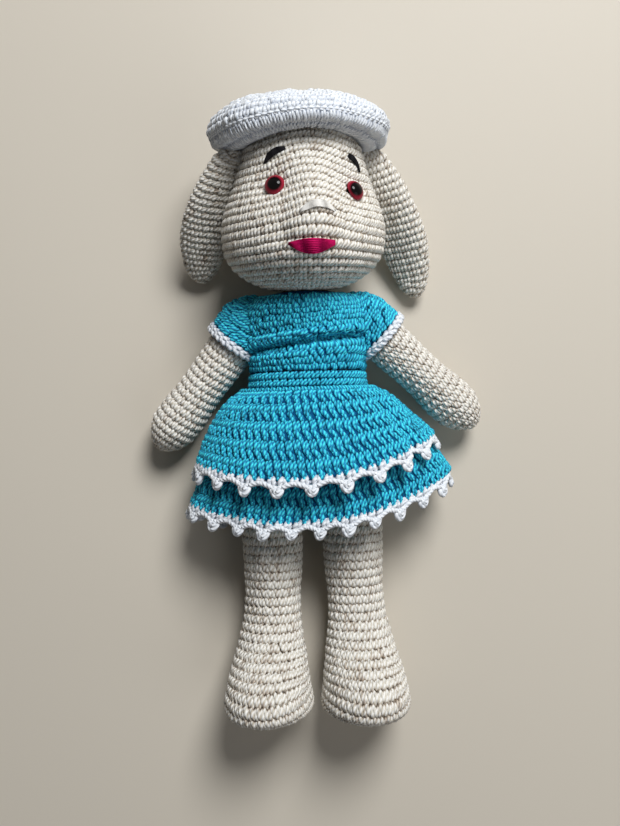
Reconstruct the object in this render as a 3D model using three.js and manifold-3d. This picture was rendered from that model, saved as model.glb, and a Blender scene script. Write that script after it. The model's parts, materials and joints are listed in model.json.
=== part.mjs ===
// Crocheted rabbit doll in a beret and a double-skirted dress, lying on its back on a table.
// The doll lies face up: +X is its own left, +Y runs from feet to head and +Z is up from the table.
import * as THREE from "three";
import { mergeVertices } from "three/addons/utils/BufferGeometryUtils.js";
import Module from "manifold-3d";

const wasm = await Module();
wasm.setup();

// Fabric and fits, in millimetres
const CLEARANCE = 0.3; // gap between neighbouring pieces
const COVER_WALL = 3; // crocheted fabric of the head, body and limbs
const DRESS_WALL = 2.4; // crocheted fabric of the dress
const FLAT_DEPTH = 0.5; // soft forms are pressed flat by this much where they lie

// Torso: heights are measured from the waist
const WAIST_HALF_WIDTH = 22.2;
const WAIST_HALF_DEPTH = 16;
const CHEST_HEIGHT = 17;
const CHEST_HALF_WIDTH = 22.4;
const CHEST_HALF_DEPTH = 19;
const SHOULDER_HEIGHT = 31.5;
const SHOULDER_HALF_WIDTH = 21.5;
const SHOULDER_HALF_DEPTH = 16.5;
const NECK_RADIUS = 11.5;
const NECK_HEIGHT = 36.5;
const NECK_STUB = 2.4; // how far the neck reaches into the head
const NECKLINE_DROP = 0.1; // the neckline lies this far under the top of the neck
const NECKLINE_HEIGHT = NECK_HEIGHT - NECKLINE_DROP;
const HIP_DEPTH_BELOW_WAIST = 24;
const HIP_HALF_WIDTH = 27.5;
const HIP_HALF_DEPTH = 14.6;
const SEAT_DEPTH_BELOW_WAIST = 38;

// Head: heights are measured from its underside along its own axis
const HEAD_HEIGHT = 77.5;
const HEAD_CHEEK_RADIUS = 34;
const HEAD_CHEEK_HEIGHT = 24;
const HEAD_JAW_RADIUS = 26.5;
const HEAD_JAW_HEIGHT = 6;
const HEAD_BROW_RADIUS = 28;
const HEAD_BROW_HEIGHT = 45;
const HEAD_CROWN_RADIUS = 22;
const HEAD_CROWN_HEIGHT = 64;
const HEAD_TURN = 12; // degrees, the face looks towards the doll's left
const HEAD_TILT = 6; // degrees, the crown is raised
const MUZZLE_RISE = 7;
const MUZZLE_HEIGHT = 23;
const MUZZLE_SPREAD = 15;
const MUZZLE_SHIFT = -2; // across from the middle of the face
const SOCKET_DEPTH = 2.4;
const SOCKET_SPREAD = 7;

// Face
const EYE_RADIUS = 4;
const EYE_DOME = 3;
const EYE_HEIGHT = { left: 39, right: 41.3 };
const EYE_ANGLE = 32; // degrees to each side of the face's middle
const EYE_SPLAY = { left: 10, right: 3 }; // degrees that each eye looks out from the face
const EYE_SINK = 0.2;
const SHANK_RADIUS = 1.5;
const SHANK_LENGTH = 9;
const WASHER_RADIUS = 5;
const WASHER_THICKNESS = 1.4;
const EYEBROW_THREAD = 1.3;
const EYEBROW_INNER = { left: [32, 52.9], right: [24.5, 55.3] }; // angle and height where each one starts
const EYEBROW_OUTER = { left: [45, 47.2], right: [44, 50.8] }; // angle and height where it ends
const NOSE_HALF_ANGLE = 12;
const NOSE_HEIGHT = 29.5;
const NOSE_ARCH = 3.4;
const NOSE_HALF_BAND = 1.9;
const MOUTH_HALF_ANGLE = 16;
const MOUTH_HEIGHT = 18.5;
const MOUTH_HALF_OPENING = 2.9;
const MOUTH_SAG = 1.8;
const MOUTH_SHIFT = -4.4; // across from the middle of the face
const FACE_STITCH_THICKNESS = 1.4;
const BLUNT_END = 0.3; // the power that rounds off a bar of stitches

// Ears
const EAR_LENGTH = { left: 64, right: 61 };
const EAR_HALF_WIDTH = 12;
const EAR_ROOT_HALF_WIDTH = 7;
const EAR_HALF_THICKNESS = 3.6;
const EAR_ROOT_HEIGHT = 54.5;
const EAR_ROOT_GAP = 0.6;
const EAR_OUTLINE = [[0.3, 0.93], [0.6, 1], [0.9, 0.68]]; // shares of the length and of the half-width
const EAR_BOW = 3.2; // how far the middle of an ear bows outwards
const EAR_SPLAY = { left: 22.5, right: 10 }; // degrees outwards from straight down
const EAR_FALL = { left: 15, right: 38 }; // degrees back towards the table

// Beret
const BERET_WALL = 2.6;
const BERET_HALF_WIDTH = 37.4;
const BERET_HALF_DEPTH = 35;
const BERET_GRIP = 16.2; // how far under the crown its opening holds the head
const BERET_DIP = 2.7; // the opening's edge comes down over each ear by this much, and goes up over the brow
const BERET_RIM_DROP = 10; // how far under the crown its rim stands out
const BERET_RISE = 3.8; // how far over the crown its top stands
const BERET_OPENING_HEIGHT = HEAD_HEIGHT - BERET_GRIP;
const BERET_RIM_HEIGHT = HEAD_HEIGHT - BERET_RIM_DROP;
const BERET_TOP_HEIGHT = HEAD_HEIGHT + BERET_RISE;
const BERET_FULLNESS = 0.78; // where the underside turns up, as a share of the way out to the rim
const BERET_SAG = 1.2; // how far the underside has risen there
const BERET_DOME = [[0.93, 0.3], [0.68, 0.64], [0.34, 0.9]]; // shares of the radius and of the rise
const BERET_LOBES = 7;
const BERET_LOBE_RISE = 1.2;

// Arms and sleeves
const SHOULDER_PIVOT_X = 25.5;
const SHOULDER_PIVOT_HEIGHT = 24.5;
const ARM_LENGTH = 67.5; // from the shoulder pivot to the tip
const ARM_RADIUS = 9.6;
const WRIST_RADIUS = 9.9;
const WRIST_SHARE = 0.6; // of the way from the shoulder to the hand
const HAND_RADIUS = 11.2;
const ARM_SPREAD = { left: 46.5, right: 38.5 }; // degrees from straight down
const ARM_DROP = 9; // degrees down towards the table
const ARM_SWING_IN = { left: -4, right: 0 }; // degrees, the dress leaves room for this swing to the body
const SLEEVE_LENGTH = 7.5;
const SLEEVE_WALL = 2.2;
const SLEEVE_TRIM_WIDTH = 3;
const SLEEVE_TRIM_RISE = 0.5;

// Legs and feet
const HIP_PIVOT_X = 17.9;
const HIP_PIVOT_BELOW_WAIST = 38;
const LEG_LENGTH = 107.5; // from the hip pivot to the sole
const LEG_RADIUS = 12.6;
const ANKLE_DISTANCE = 64; // where the foot starts to widen
const INSTEP_DISTANCE = 76; // where it starts to reach forward
const FOOT_HALF_WIDTH = 18.3;
const FOOT_DISTANCE = 93;
const TOE_REACH = 33; // from the leg's axis to the toe
const SOLE_ROUND = 3.8;
const SOLE_SHARE = 0.96; // of the foot's full size, where the sole starts to round off
const TOE_OUT = 9; // degrees
const LEG_DROP = 1.5; // degrees down towards the table

// Dress: the skirts are measured from the waist
const WAISTBAND_HALF_HEIGHT = 3.3;
const WAISTBAND_RISE = 0.5;
const SKIRT_TURN = 5.6; // degrees, the skirts sit a little askew on the doll
const OVERSKIRT = { side: 52.5, front: 37.5, sideLength: 26, frontLength: 37, swell: 0.68, layer: 2 };
const UNDERSKIRT = { side: 57.5, front: 33, sideLength: 43, frontLength: 55.5, swell: 0.75, layer: 1 };
const TRIM_BAND = 3.2;
const PICOT_REACH = 3.2;
const PICOT_SHARPNESS = 4; // the power that narrows each picot
const OVERSKIRT_PICOTS = 20;
const UNDERSKIRT_PICOTS = 24;

// Facets
const HEAD_SIDES = 32;
const HEAD_STEPS = 17;
const EAR_STEPS = 12;
const LIMB_SIDES = 20;
const ARM_STEPS = 12;
const LEG_STEPS = 15;
const CAVITY_SIDES = 14;
const CAVITY_STEPS = 8;
const TORSO_SIDES = 20;
const ROOM_SIDES = 12;
const ROOM_RINGS = 4;
const SKIRT_SIDES = 32;
const SKIRT_SHARES = [0, 0.07, 0.2, 0.4, 0.6, 0.8, 1]; // of the way from waist to hem
const BERET_SIDES = 4 * BERET_LOBES;
const TIP_RADIUS = 0.1; // the end ring of a rounded limb
const PICOT_STEPS = 3;

// Places that follow from the sizes above
const DRESS_OFFSET = CLEARANCE + DRESS_WALL;
const BODY_AXIS_Z = WAIST_HALF_DEPTH + OVERSKIRT.layer * DRESS_OFFSET;
const HEAD_BASE_Y = NECK_HEIGHT + CLEARANCE;
const HEAD_BASE_Z = HEAD_CHEEK_RADIUS - FLAT_DEPTH - HEAD_CHEEK_HEIGHT * Math.sin(radians(HEAD_TILT));
const SKIRT_TOP = -WAISTBAND_HALF_HEIGHT - CLEARANCE;
const HIP_AXIS_Z = LEG_RADIUS + OVERSKIRT.layer * DRESS_OFFSET + CLEARANCE;
const HEEL_DROP = FOOT_DISTANCE * Math.sin(radians(LEG_DROP));
const HEEL_REACH = (HIP_AXIS_Z - HEEL_DROP) / Math.cos(radians(LEG_DROP)) + FLAT_DEPTH;
const HAND_DISTANCE = ARM_LENGTH - HAND_RADIUS;
const BACK_REST_Y = SKIRT_TOP - OVERSKIRT.frontLength / 2; // the middle of the flat that the doll lies on

// Materials
const cream = yarn("cream_yarn", "#d9d4c6", 0.9);
const white = yarn("white_yarn", "#e4ebf0", 0.9);
const turquoise = yarn("turquoise_yarn", "#35a3c2", 0.85);
const magenta = yarn("magenta_thread", "#7a0a30", 0.75);
const black = yarn("black_thread", "#141214", 0.8);
const filling = yarn("fibre_filling", "#f1f0ec", 1);
const eyePlastic = yarn("eye_plastic", "#3a0d08", 0.15);
const washerPlastic = yarn("washer_plastic", "#e9e7e0", 0.5);

function yarn(name, color, roughness) {
  const material = new THREE.MeshStandardMaterial({ color, roughness, metalness: 0 });
  material.name = name;
  return material;
}

function radians(degrees) {
  return THREE.MathUtils.degToRad(degrees);
}

// A smooth curve through [place, value] stations
function smooth(stations) {
  const places = stations.map(([place]) => place);
  const values = stations.map(([, value]) => value);
  const curve = new THREE.CubicInterpolant(places, values, 1);
  return (place) => curve.evaluate(place)[0];
}

// A stuffed form's radius along its axis: it swells through the stations and closes round at both ends
function swell(stations) {
  const squared = smooth(stations.map(([place, radius]) => [place, radius * radius]));
  return (place) => Math.sqrt(Math.max(squared(place), 0));
}

// Places from start to end, closer together towards both ends
function spread(start, end, steps) {
  return Array.from({ length: steps + 1 }, (_, i) => {
    return start + ((end - start) * (1 - Math.cos((Math.PI * i) / steps))) / 2;
  });
}

function even(start, end, steps) {
  return Array.from({ length: steps + 1 }, (_, i) => start + ((end - start) * i) / steps);
}

function ring(sides, pointAt) {
  return Array.from({ length: sides }, (_, i) => pointAt((2 * Math.PI * i) / sides));
}

// Skins a row of rings; a ring of one point closes an end, and a loop joins the last ring to the first
function loft(rings, loop = false) {
  const points = rings.flat();
  const starts = rings.map((_, k) => rings.slice(0, k).reduce((sum, one) => sum + one.length, 0));
  const index = [];
  const last = loop ? rings.length : rings.length - 1;
  for (let k = 0; k < last; k++) {
    const next = (k + 1) % rings.length;
    const sides = Math.max(rings[k].length, rings[next].length);
    const at = (row, i) => starts[row] + (i % rings[row].length);
    for (let i = 0; i < sides; i++) {
      if (rings[k].length > 1) index.push(at(k, i), at(k, i + 1), at(next, i));
      if (rings[next].length > 1) index.push(at(next, i), at(k, i + 1), at(next, i + 1));
    }
  }
  return facingOut(new THREE.BufferGeometry().setFromPoints(points).setIndex(index));
}

function facingOut(geometry) {
  const place = geometry.attributes.position;
  const corners = Array.from(geometry.index.array, (i) => new THREE.Vector3().fromBufferAttribute(place, i));
  let volume = 0;
  for (let i = 0; i < corners.length; i += 3) {
    volume += corners[i].dot(corners[i + 1].clone().cross(corners[i + 2]));
  }
  if (volume < 0) geometry.index.array.reverse();
  return geometry;
}

function middle(points) {
  return points.reduce((sum, p) => sum.add(p), new THREE.Vector3()).divideScalar(points.length);
}

// Closes both ends of a row of rings with a point in the middle of the end ring
function capped(rings) {
  return loft([[middle(rings[0])], ...rings, [middle(rings.at(-1))]]);
}

// Solids for cutting and joining
function solidOf(geometry) {
  const bare = geometry.clone();
  bare.deleteAttribute("normal");
  bare.deleteAttribute("uv");
  const merged = mergeVertices(bare, 1e-4);
  const vertProperties = Float32Array.from(merged.attributes.position.array);
  const triVerts = Uint32Array.from(merged.index.array);
  return new wasm.Manifold(new wasm.Mesh({ numProp: 3, vertProperties, triVerts }));
}

function geometryOf(solid) {
  const { vertProperties, triVerts } = solid.getMesh();
  const geometry = new THREE.BufferGeometry();
  geometry.setAttribute("position", new THREE.BufferAttribute(vertProperties, 3));
  geometry.setIndex(new THREE.BufferAttribute(triVerts, 1));
  return geometry;
}

function cut(geometry, ...tools) {
  return geometryOf(tools.reduce((solid, tool) => solid.subtract(solidOf(tool)), solidOf(geometry)));
}

function joined(geometry, ...others) {
  return geometryOf(others.reduce((solid, other) => solid.add(solidOf(other)), solidOf(geometry)));
}

// Moves a geometry from one group's frame to another's
function carried(geometry, from, to) {
  from.updateWorldMatrix(true, false);
  to.updateWorldMatrix(true, false);
  const shift = to.matrixWorld.clone().invert().multiply(from.matrixWorld);
  return geometry.clone().applyMatrix4(shift);
}

function addPiece(group, name, geometry, material) {
  const mesh = new THREE.Mesh(geometry, material);
  mesh.name = name;
  group.add(mesh);
  return mesh;
}

// Everything under the table's top
function tableTop() {
  const reach = 4 * LEG_LENGTH;
  return new THREE.BoxGeometry(reach, reach, reach).translate(0, 0, -reach / 2);
}

// Groups: each has its origin at the joint that carries it
const doll = new THREE.Group();
doll.position.y = -BACK_REST_Y;

const head = new THREE.Group();
head.position.set(0, HEAD_BASE_Y, HEAD_BASE_Z);
head.rotation.set(radians(HEAD_TILT), radians(HEAD_TURN), 0);
doll.add(head);

const SIDES = { left: 1, right: -1 };

function armGroup(side) {
  const arm = new THREE.Group();
  arm.position.set(SIDES[side] * SHOULDER_PIVOT_X, SHOULDER_PIVOT_HEIGHT, BODY_AXIS_Z);
  arm.rotation.order = "ZXY";
  arm.rotation.set(radians(ARM_DROP), 0, SIDES[side] * radians(ARM_SPREAD[side]));
  doll.add(arm);
  return arm;
}

function legGroup(side) {
  const leg = new THREE.Group();
  leg.position.set(SIDES[side] * HIP_PIVOT_X, -HIP_PIVOT_BELOW_WAIST, HIP_AXIS_Z);
  leg.rotation.order = "XYZ";
  leg.rotation.set(radians(LEG_DROP), SIDES[side] * radians(TOE_OUT), 0);
  doll.add(leg);
  return leg;
}

const arms = { left: armGroup("left"), right: armGroup("right") };
const legs = { left: legGroup("left"), right: legGroup("right") };

// Head surface: an angle round the head's axis from the middle of the face, and a height along the axis
const headRadius = swell([
  [0, 0],
  [HEAD_JAW_HEIGHT, HEAD_JAW_RADIUS],
  [HEAD_CHEEK_HEIGHT, HEAD_CHEEK_RADIUS],
  [HEAD_BROW_HEIGHT, HEAD_BROW_RADIUS],
  [HEAD_CROWN_HEIGHT, HEAD_CROWN_RADIUS],
  [HEAD_HEIGHT, 0],
]);

function dent(across, along, reach) {
  return Math.exp(-(across * across + along * along) / (reach * reach));
}

function headPoint(angle, height, lift = 0) {
  const radius = headRadius(height) + lift;
  const across = radius * Math.sin(angle);
  const front = Math.cos(angle) > 0 ? 1 : 0;
  const muzzle = MUZZLE_RISE * dent(across - MUZZLE_SHIFT, height - MUZZLE_HEIGHT, MUZZLE_SPREAD);
  const eyeHeight = across > 0 ? EYE_HEIGHT.left : EYE_HEIGHT.right;
  const eyeAcross = headRadius(eyeHeight) * Math.sin(radians(EYE_ANGLE));
  const socket = SOCKET_DEPTH * dent(Math.abs(across) - eyeAcross, height - eyeHeight, SOCKET_SPREAD);
  return new THREE.Vector3(across, height, radius * Math.cos(angle) + front * (muzzle - socket));
}

function headSkin(inset, sides, steps) {
  const heights = spread(inset, HEAD_HEIGHT - inset, steps).slice(inset ? 0 : 1, inset ? undefined : -1);
  const rings = heights.map((height) => ring(sides, (angle) => headPoint(angle, height, -inset)));
  return capped(rings);
}

function outwardAt(angle, height) {
  const step = 0.01;
  const here = headPoint(angle, height);
  const round = headPoint(angle + step, height).sub(here);
  const up = headPoint(angle, height + step).sub(here);
  return round.cross(up).normalize();
}

// Eyes: a domed face on a shank, locked behind the fabric by a washer
function eyeShape() {
  const dome = new THREE.Path().absellipse(0, -EYE_SINK, EYE_RADIUS, EYE_DOME + EYE_SINK, 0, Math.PI / 2);
  const profile = [
    new THREE.Vector2(0, -SHANK_LENGTH),
    new THREE.Vector2(SHANK_RADIUS, -SHANK_LENGTH),
    new THREE.Vector2(SHANK_RADIUS, -EYE_SINK),
    ...dome.getPoints(3),
  ];
  profile.at(-1).x = 0;
  return new THREE.LatheGeometry(profile, CAVITY_SIDES);
}

function disc(radius, from, to) {
  const height = to - from;
  return new THREE.CylinderGeometry(radius, radius, height, CAVITY_SIDES).translate(0, from + height / 2, 0);
}

const WASHER_TOP = -COVER_WALL - CLEARANCE;
const WASHER_BOTTOM = WASHER_TOP - WASHER_THICKNESS;

function washerShape() {
  const bore = disc(SHANK_RADIUS + CLEARANCE, -2 * SHANK_LENGTH, 0);
  return cut(disc(WASHER_RADIUS, WASHER_BOTTOM, WASHER_TOP), bore);
}

// The room that an eye and its washer take in the head's fabric and filling
function eyeRoom() {
  return [
    disc(EYE_RADIUS + CLEARANCE, -EYE_SINK - CLEARANCE, EYE_DOME),
    disc(SHANK_RADIUS + CLEARANCE, -SHANK_LENGTH, 0),
    disc(WASHER_RADIUS + CLEARANCE, -SHANK_LENGTH - CLEARANCE, WASHER_TOP + CLEARANCE),
  ];
}

function eyeGroup(side) {
  const angle = SIDES[side] * radians(EYE_ANGLE);
  const up = new THREE.Vector3(0, 1, 0);
  const outward = outwardAt(angle, EYE_HEIGHT[side]);
  outward.applyAxisAngle(up, SIDES[side] * radians(EYE_SPLAY[side]));
  const eye = new THREE.Group();
  eye.position.copy(headPoint(angle, EYE_HEIGHT[side]));
  eye.quaternion.setFromUnitVectors(up, outward);
  head.add(eye);
  return eye;
}

// A bar of stitches lying on the face, from one [angle, height] place to the next
function stitchedBar(name, places, halfBandAt, material) {
  const lift = CLEARANCE + FACE_STITCH_THICKNESS / 2;
  const rings = places.slice(1, -1).map(([angle, height], k) => {
    const halfBand = halfBandAt((k + 1) / (places.length - 1));
    return ring(8, (turn) => {
      const rise = lift + (FACE_STITCH_THICKNESS / 2) * Math.sin(turn);
      return headPoint(angle, height + halfBand * Math.cos(turn), rise);
    });
  });
  const ends = [places[0], places.at(-1)].map(([angle, height]) => [headPoint(angle, height, lift)]);
  addPiece(head, name, loft([ends[0], ...rings, ends[1]]), material);
}

// The share of a bar's full width along its length, with rounded ends
function blunt(share) {
  return Math.pow(Math.sin(Math.PI * share), BLUNT_END);
}

function addFaceStitches() {
  for (const side of ["left", "right"]) {
    const inner = EYEBROW_INNER[side];
    const outer = EYEBROW_OUTER[side];
    const places = even(0, 1, 8).map((t) => [
      SIDES[side] * radians(THREE.MathUtils.lerp(inner[0], outer[0], t)),
      THREE.MathUtils.lerp(inner[1], outer[1], t * t),
    ]);
    stitchedBar(`${side}_eyebrow`, places, (t) => EYEBROW_THREAD * blunt(t), black);
  }
  const noseAngle = Math.asin(MUZZLE_SHIFT / headRadius(NOSE_HEIGHT));
  const nosePlaces = even(-1, 1, 10).map((t) => [
    noseAngle + t * radians(NOSE_HALF_ANGLE),
    NOSE_HEIGHT + NOSE_ARCH * (1 - t * t),
  ]);
  stitchedBar("nose", nosePlaces, (t) => NOSE_HALF_BAND * blunt(t), cream);
  const mouthAngle = Math.asin(MOUTH_SHIFT / headRadius(MOUTH_HEIGHT));
  const mouthPlaces = even(-1, 1, 12).map((t) => [
    mouthAngle + t * radians(MOUTH_HALF_ANGLE),
    MOUTH_HEIGHT - MOUTH_SAG * (1 - t * t),
  ]);
  stitchedBar("mouth", mouthPlaces, (t) => MOUTH_HALF_OPENING * Math.sin(Math.PI * t), magenta);
}

function addHead() {
  const eyes = { left: eyeGroup("left"), right: eyeGroup("right") };
  const rooms = Object.values(eyes).flatMap((eye) => eyeRoom().map((room) => carried(room, eye, head)));
  const neckRoom = disc(NECK_RADIUS + CLEARANCE, -HEAD_JAW_HEIGHT, NECK_STUB + CLEARANCE);
  const sewnOpening = disc(NECK_RADIUS - COVER_WALL, -HEAD_JAW_HEIGHT, HEAD_CHEEK_HEIGHT);
  const table = carried(tableTop(), doll, head);
  const cavity = headSkin(COVER_WALL, HEAD_SIDES / 2, CAVITY_STEPS);
  const cover = cut(headSkin(0, HEAD_SIDES, HEAD_STEPS), table, cavity, sewnOpening, neckRoom, ...rooms);
  addPiece(head, "head_cover", cover, cream);
  const stuffing = headSkin(COVER_WALL + CLEARANCE, HEAD_SIDES / 2, CAVITY_STEPS);
  addPiece(head, "head_stuffing", cut(stuffing, neckRoom, ...rooms), filling);
  for (const side of ["left", "right"]) {
    addPiece(eyes[side], `${side}_eye`, eyeShape(), eyePlastic);
    addPiece(eyes[side], `${side}_eye_washer`, washerShape(), washerPlastic);
  }
  addFaceStitches();
}

// Ears: flattened, sewn on along the root edge and hanging back towards the table
const earHalfWidth = swell([
  [0, EAR_ROOT_HALF_WIDTH],
  ...EAR_OUTLINE.map(([share, width]) => [share, EAR_HALF_WIDTH * width]),
  [1, 0],
]);

function earShape(side) {
  const length = EAR_LENGTH[side];
  const thickness = (share) => EAR_HALF_THICKNESS * Math.min(1, (2 * earHalfWidth(share)) / EAR_HALF_WIDTH);
  const root = ring(CAVITY_SIDES, (turn) => {
    return new THREE.Vector3(EAR_ROOT_HALF_WIDTH * Math.sin(turn), 0, EAR_HALF_THICKNESS * Math.cos(turn));
  });
  const rings = spread(0, 1, EAR_STEPS).slice(1, -1).map((share) => {
    const bow = SIDES[side] * EAR_BOW * Math.sin(Math.PI * share);
    return ring(CAVITY_SIDES, (turn) => {
      const across = earHalfWidth(share) * Math.sin(turn) + bow;
      return new THREE.Vector3(across, -length * share, thickness(share) * Math.cos(turn));
    });
  });
  const rootEdge = [new THREE.Vector3(0, EAR_HALF_THICKNESS, 0)];
  return loft([rootEdge, root, ...rings, [new THREE.Vector3(0, -length, 0)]]);
}

function addEar(side) {
  const ear = new THREE.Group();
  const outwards = headRadius(EAR_ROOT_HEIGHT) + EAR_HALF_THICKNESS + EAR_ROOT_GAP;
  ear.position.set(SIDES[side] * outwards, EAR_ROOT_HEIGHT, 0);
  ear.rotation.order = "YXZ";
  ear.rotation.set(radians(EAR_FALL[side]), 0, SIDES[side] * radians(EAR_SPLAY[side]));
  head.add(ear);
  const headRoom = carried(headSkin(-CLEARANCE, HEAD_SIDES, HEAD_STEPS), head, ear);
  const table = carried(tableTop(), doll, ear);
  addPiece(ear, `${side}_ear`, cut(earShape(side), headRoom, table), cream);
}

// Beret: a soft lobed shell, open underneath where it sits on the crown
function beretSkin(wall) {
  const rimRadius = BERET_HALF_WIDTH - wall;
  const openingRadius = headRadius(BERET_OPENING_HEIGHT) + CLEARANCE + BERET_WALL - wall;
  const underside = BERET_OPENING_HEIGHT + wall + BERET_SAG;
  const top = BERET_TOP_HEIGHT - wall;
  const lowestRadius = THREE.MathUtils.lerp(openingRadius, rimRadius, BERET_FULLNESS);
  const dome = BERET_DOME.map(([out, rise]) => {
    return new THREE.Vector3(rimRadius * out, THREE.MathUtils.lerp(BERET_RIM_HEIGHT, top, rise), 0);
  });
  const outline = new THREE.CatmullRomCurve3([
    new THREE.Vector3(openingRadius, BERET_OPENING_HEIGHT, 0),
    new THREE.Vector3(lowestRadius, underside, 0),
    new THREE.Vector3(rimRadius, BERET_RIM_HEIGHT, 0),
    ...dome,
  ]);
  const rings = outline.getPoints(9).map((point) => {
    const fullness = Math.max((point.x - openingRadius) / (rimRadius - openingRadius), 0);
    const belowRim = (BERET_RIM_HEIGHT - point.y) / (BERET_RIM_HEIGHT - BERET_OPENING_HEIGHT);
    const flattening = 1 - fullness * (1 - BERET_HALF_DEPTH / BERET_HALF_WIDTH);
    return ring(BERET_SIDES, (angle) => {
      const dip = BERET_DIP * Math.cos(2 * angle);
      const grip = headRadius(BERET_OPENING_HEIGHT + dip) - headRadius(BERET_OPENING_HEIGHT);
      const wave = BERET_LOBE_RISE * fullness * Math.cos(BERET_LOBES * angle);
      const radius = point.x + wave + grip * Math.max(belowRim, 0);
      const height = point.y + dip * Math.max(belowRim, 0);
      return new THREE.Vector3(radius * Math.sin(angle), height, radius * flattening * Math.cos(angle));
    });
  });
  return [...rings, [new THREE.Vector3(0, top, 0)]];
}

function addBeret() {
  const shell = loft([...beretSkin(0).reverse(), ...beretSkin(BERET_WALL)]);
  addPiece(head, "beret", cut(shell, carried(tableTop(), doll, head)), white);
}

// Arms: a ball at the shoulder, then a swelling limb with a rounder hand
const armSwell = swell([
  [0, ARM_RADIUS],
  [HAND_DISTANCE * WRIST_SHARE, WRIST_RADIUS],
  [HAND_DISTANCE, HAND_RADIUS],
  [ARM_LENGTH, 0],
]);

// The radius of a limb that starts with a ball round its pivot
function ballEnded(ballRadius, along, rest) {
  return along < 0 ? Math.sqrt(Math.max(ballRadius * ballRadius - along * along, 0)) : rest(along);
}

function limbRing(sides, along, halfWidth, halfDepth = halfWidth, forward = 0) {
  return ring(sides, (turn) => {
    return new THREE.Vector3(halfWidth * Math.sin(turn), -along, halfDepth * Math.cos(turn) + forward);
  });
}

function armSkin(offset, from, to, sides, steps) {
  const ball = ARM_RADIUS + offset;
  return capped(spread(from, to, steps).map((along) => {
    const radius = ballEnded(ball, along, (place) => armSwell(place) + offset);
    return limbRing(sides, along, Math.max(radius, TIP_RADIUS));
  }));
}

// The sewn end of a limb is open, so that its filling can go in
function sewnEnd(radius) {
  return disc(radius - COVER_WALL - CLEARANCE, -CLEARANCE, 2 * radius);
}

function armTube(innerOffset, outerOffset, from, to, steps) {
  const places = even(from, to, steps);
  const skin = (offset) => places.map((along) => {
    const radius = ballEnded(ARM_RADIUS + offset, along, (place) => armSwell(place) + offset);
    return limbRing(LIMB_SIDES, along, radius);
  });
  return loft([...skin(outerOffset), ...skin(innerOffset).reverse()], true);
}

const SLEEVE_OFFSET = CLEARANCE + SLEEVE_WALL;
const SLEEVE_CAP = -0.92 * ARM_RADIUS; // the sleeve's inner edge, on the ball of the shoulder
const SLEEVE_REACH = SLEEVE_LENGTH + CLEARANCE + SLEEVE_TRIM_WIDTH;

function addArm(side) {
  const arm = arms[side];
  const cavity = armSkin(-COVER_WALL, 0, ARM_LENGTH - COVER_WALL, CAVITY_SIDES, CAVITY_STEPS - 2);
  const table = carried(tableTop(), doll, arm);
  const limb = armSkin(0, -ARM_RADIUS, ARM_LENGTH, LIMB_SIDES, ARM_STEPS);
  addPiece(arm, `${side}_arm_cover`, cut(limb, table, cavity, sewnEnd(ARM_RADIUS)), cream);
  const inset = COVER_WALL + CLEARANCE;
  const stuffing = armSkin(-inset, CLEARANCE, ARM_LENGTH - inset, CAVITY_SIDES, CAVITY_STEPS - 2);
  addPiece(arm, `${side}_arm_stuffing`, stuffing, filling);
  const sleeve = armTube(CLEARANCE, SLEEVE_OFFSET, SLEEVE_CAP, SLEEVE_LENGTH, 5);
  addPiece(arm, `${side}_sleeve`, sleeve, turquoise);
  const trimOffset = SLEEVE_OFFSET + SLEEVE_TRIM_RISE;
  const trim = armTube(CLEARANCE, trimOffset, SLEEVE_LENGTH + CLEARANCE, SLEEVE_REACH, 2);
  addPiece(arm, `${side}_sleeve_trim`, trim, white);
}

// The room round a limb's pivot: a ball, and a straight stretch along the limb.
// Its flats, not its corners, lie at the given radius.
function limbRoom(radius, length) {
  const reach = radius / (Math.cos(Math.PI / ROOM_SIDES) * Math.cos(Math.PI / (4 * ROOM_RINGS)));
  const ball = even(0, Math.PI / 2, ROOM_RINGS).slice(1);
  const rings = ball.map((turn) => limbRing(ROOM_SIDES, -reach * Math.cos(turn), reach * Math.sin(turn)));
  return loft([
    [new THREE.Vector3(0, reach, 0)],
    ...rings,
    limbRing(ROOM_SIDES, length, reach),
    [new THREE.Vector3(0, -length, 0)],
  ]);
}

// Turns a room about its limb's pivot, and gives it in the doll's frame
function turnedRoom(room, limb, axis, degrees) {
  const pivot = limb.position;
  const turn = new THREE.Matrix4().makeRotationAxis(axis, radians(degrees));
  const placed = carried(room, limb, doll).translate(-pivot.x, -pivot.y, -pivot.z);
  return placed.applyMatrix4(turn).translate(pivot.x, pivot.y, pivot.z);
}

// The room that each sleeve needs at the shoulder, with its arm swung in as far as it goes
function sleeveRooms() {
  const radius = ARM_RADIUS + SLEEVE_OFFSET + SLEEVE_TRIM_RISE + CLEARANCE;
  const room = limbRoom(radius, SLEEVE_REACH + SLEEVE_TRIM_WIDTH);
  return ["left", "right"].map((side) => {
    const axis = new THREE.Vector3(0, 0, SIDES[side]);
    return turnedRoom(room, arms[side], axis, ARM_SWING_IN[side]);
  });
}

// Legs: a ball at the hip, a straight leg and a foot that points up
const footSwell = (start, reach) => swell([
  [0, LEG_RADIUS],
  [start / 2, LEG_RADIUS],
  [start, LEG_RADIUS],
  [FOOT_DISTANCE, reach],
  [LEG_LENGTH - SOLE_ROUND, reach * SOLE_SHARE],
  [LEG_LENGTH, 0],
]);
const legHalfWidth = footSwell(ANKLE_DISTANCE, FOOT_HALF_WIDTH);
const legHalfDepth = footSwell(INSTEP_DISTANCE, (TOE_REACH + HEEL_REACH) / 2);
const footForward = smooth([
  [0, 0],
  [INSTEP_DISTANCE, 0],
  [FOOT_DISTANCE, (TOE_REACH - HEEL_REACH) / 2],
  [LEG_LENGTH, (TOE_REACH - HEEL_REACH) / 2],
]);

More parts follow.
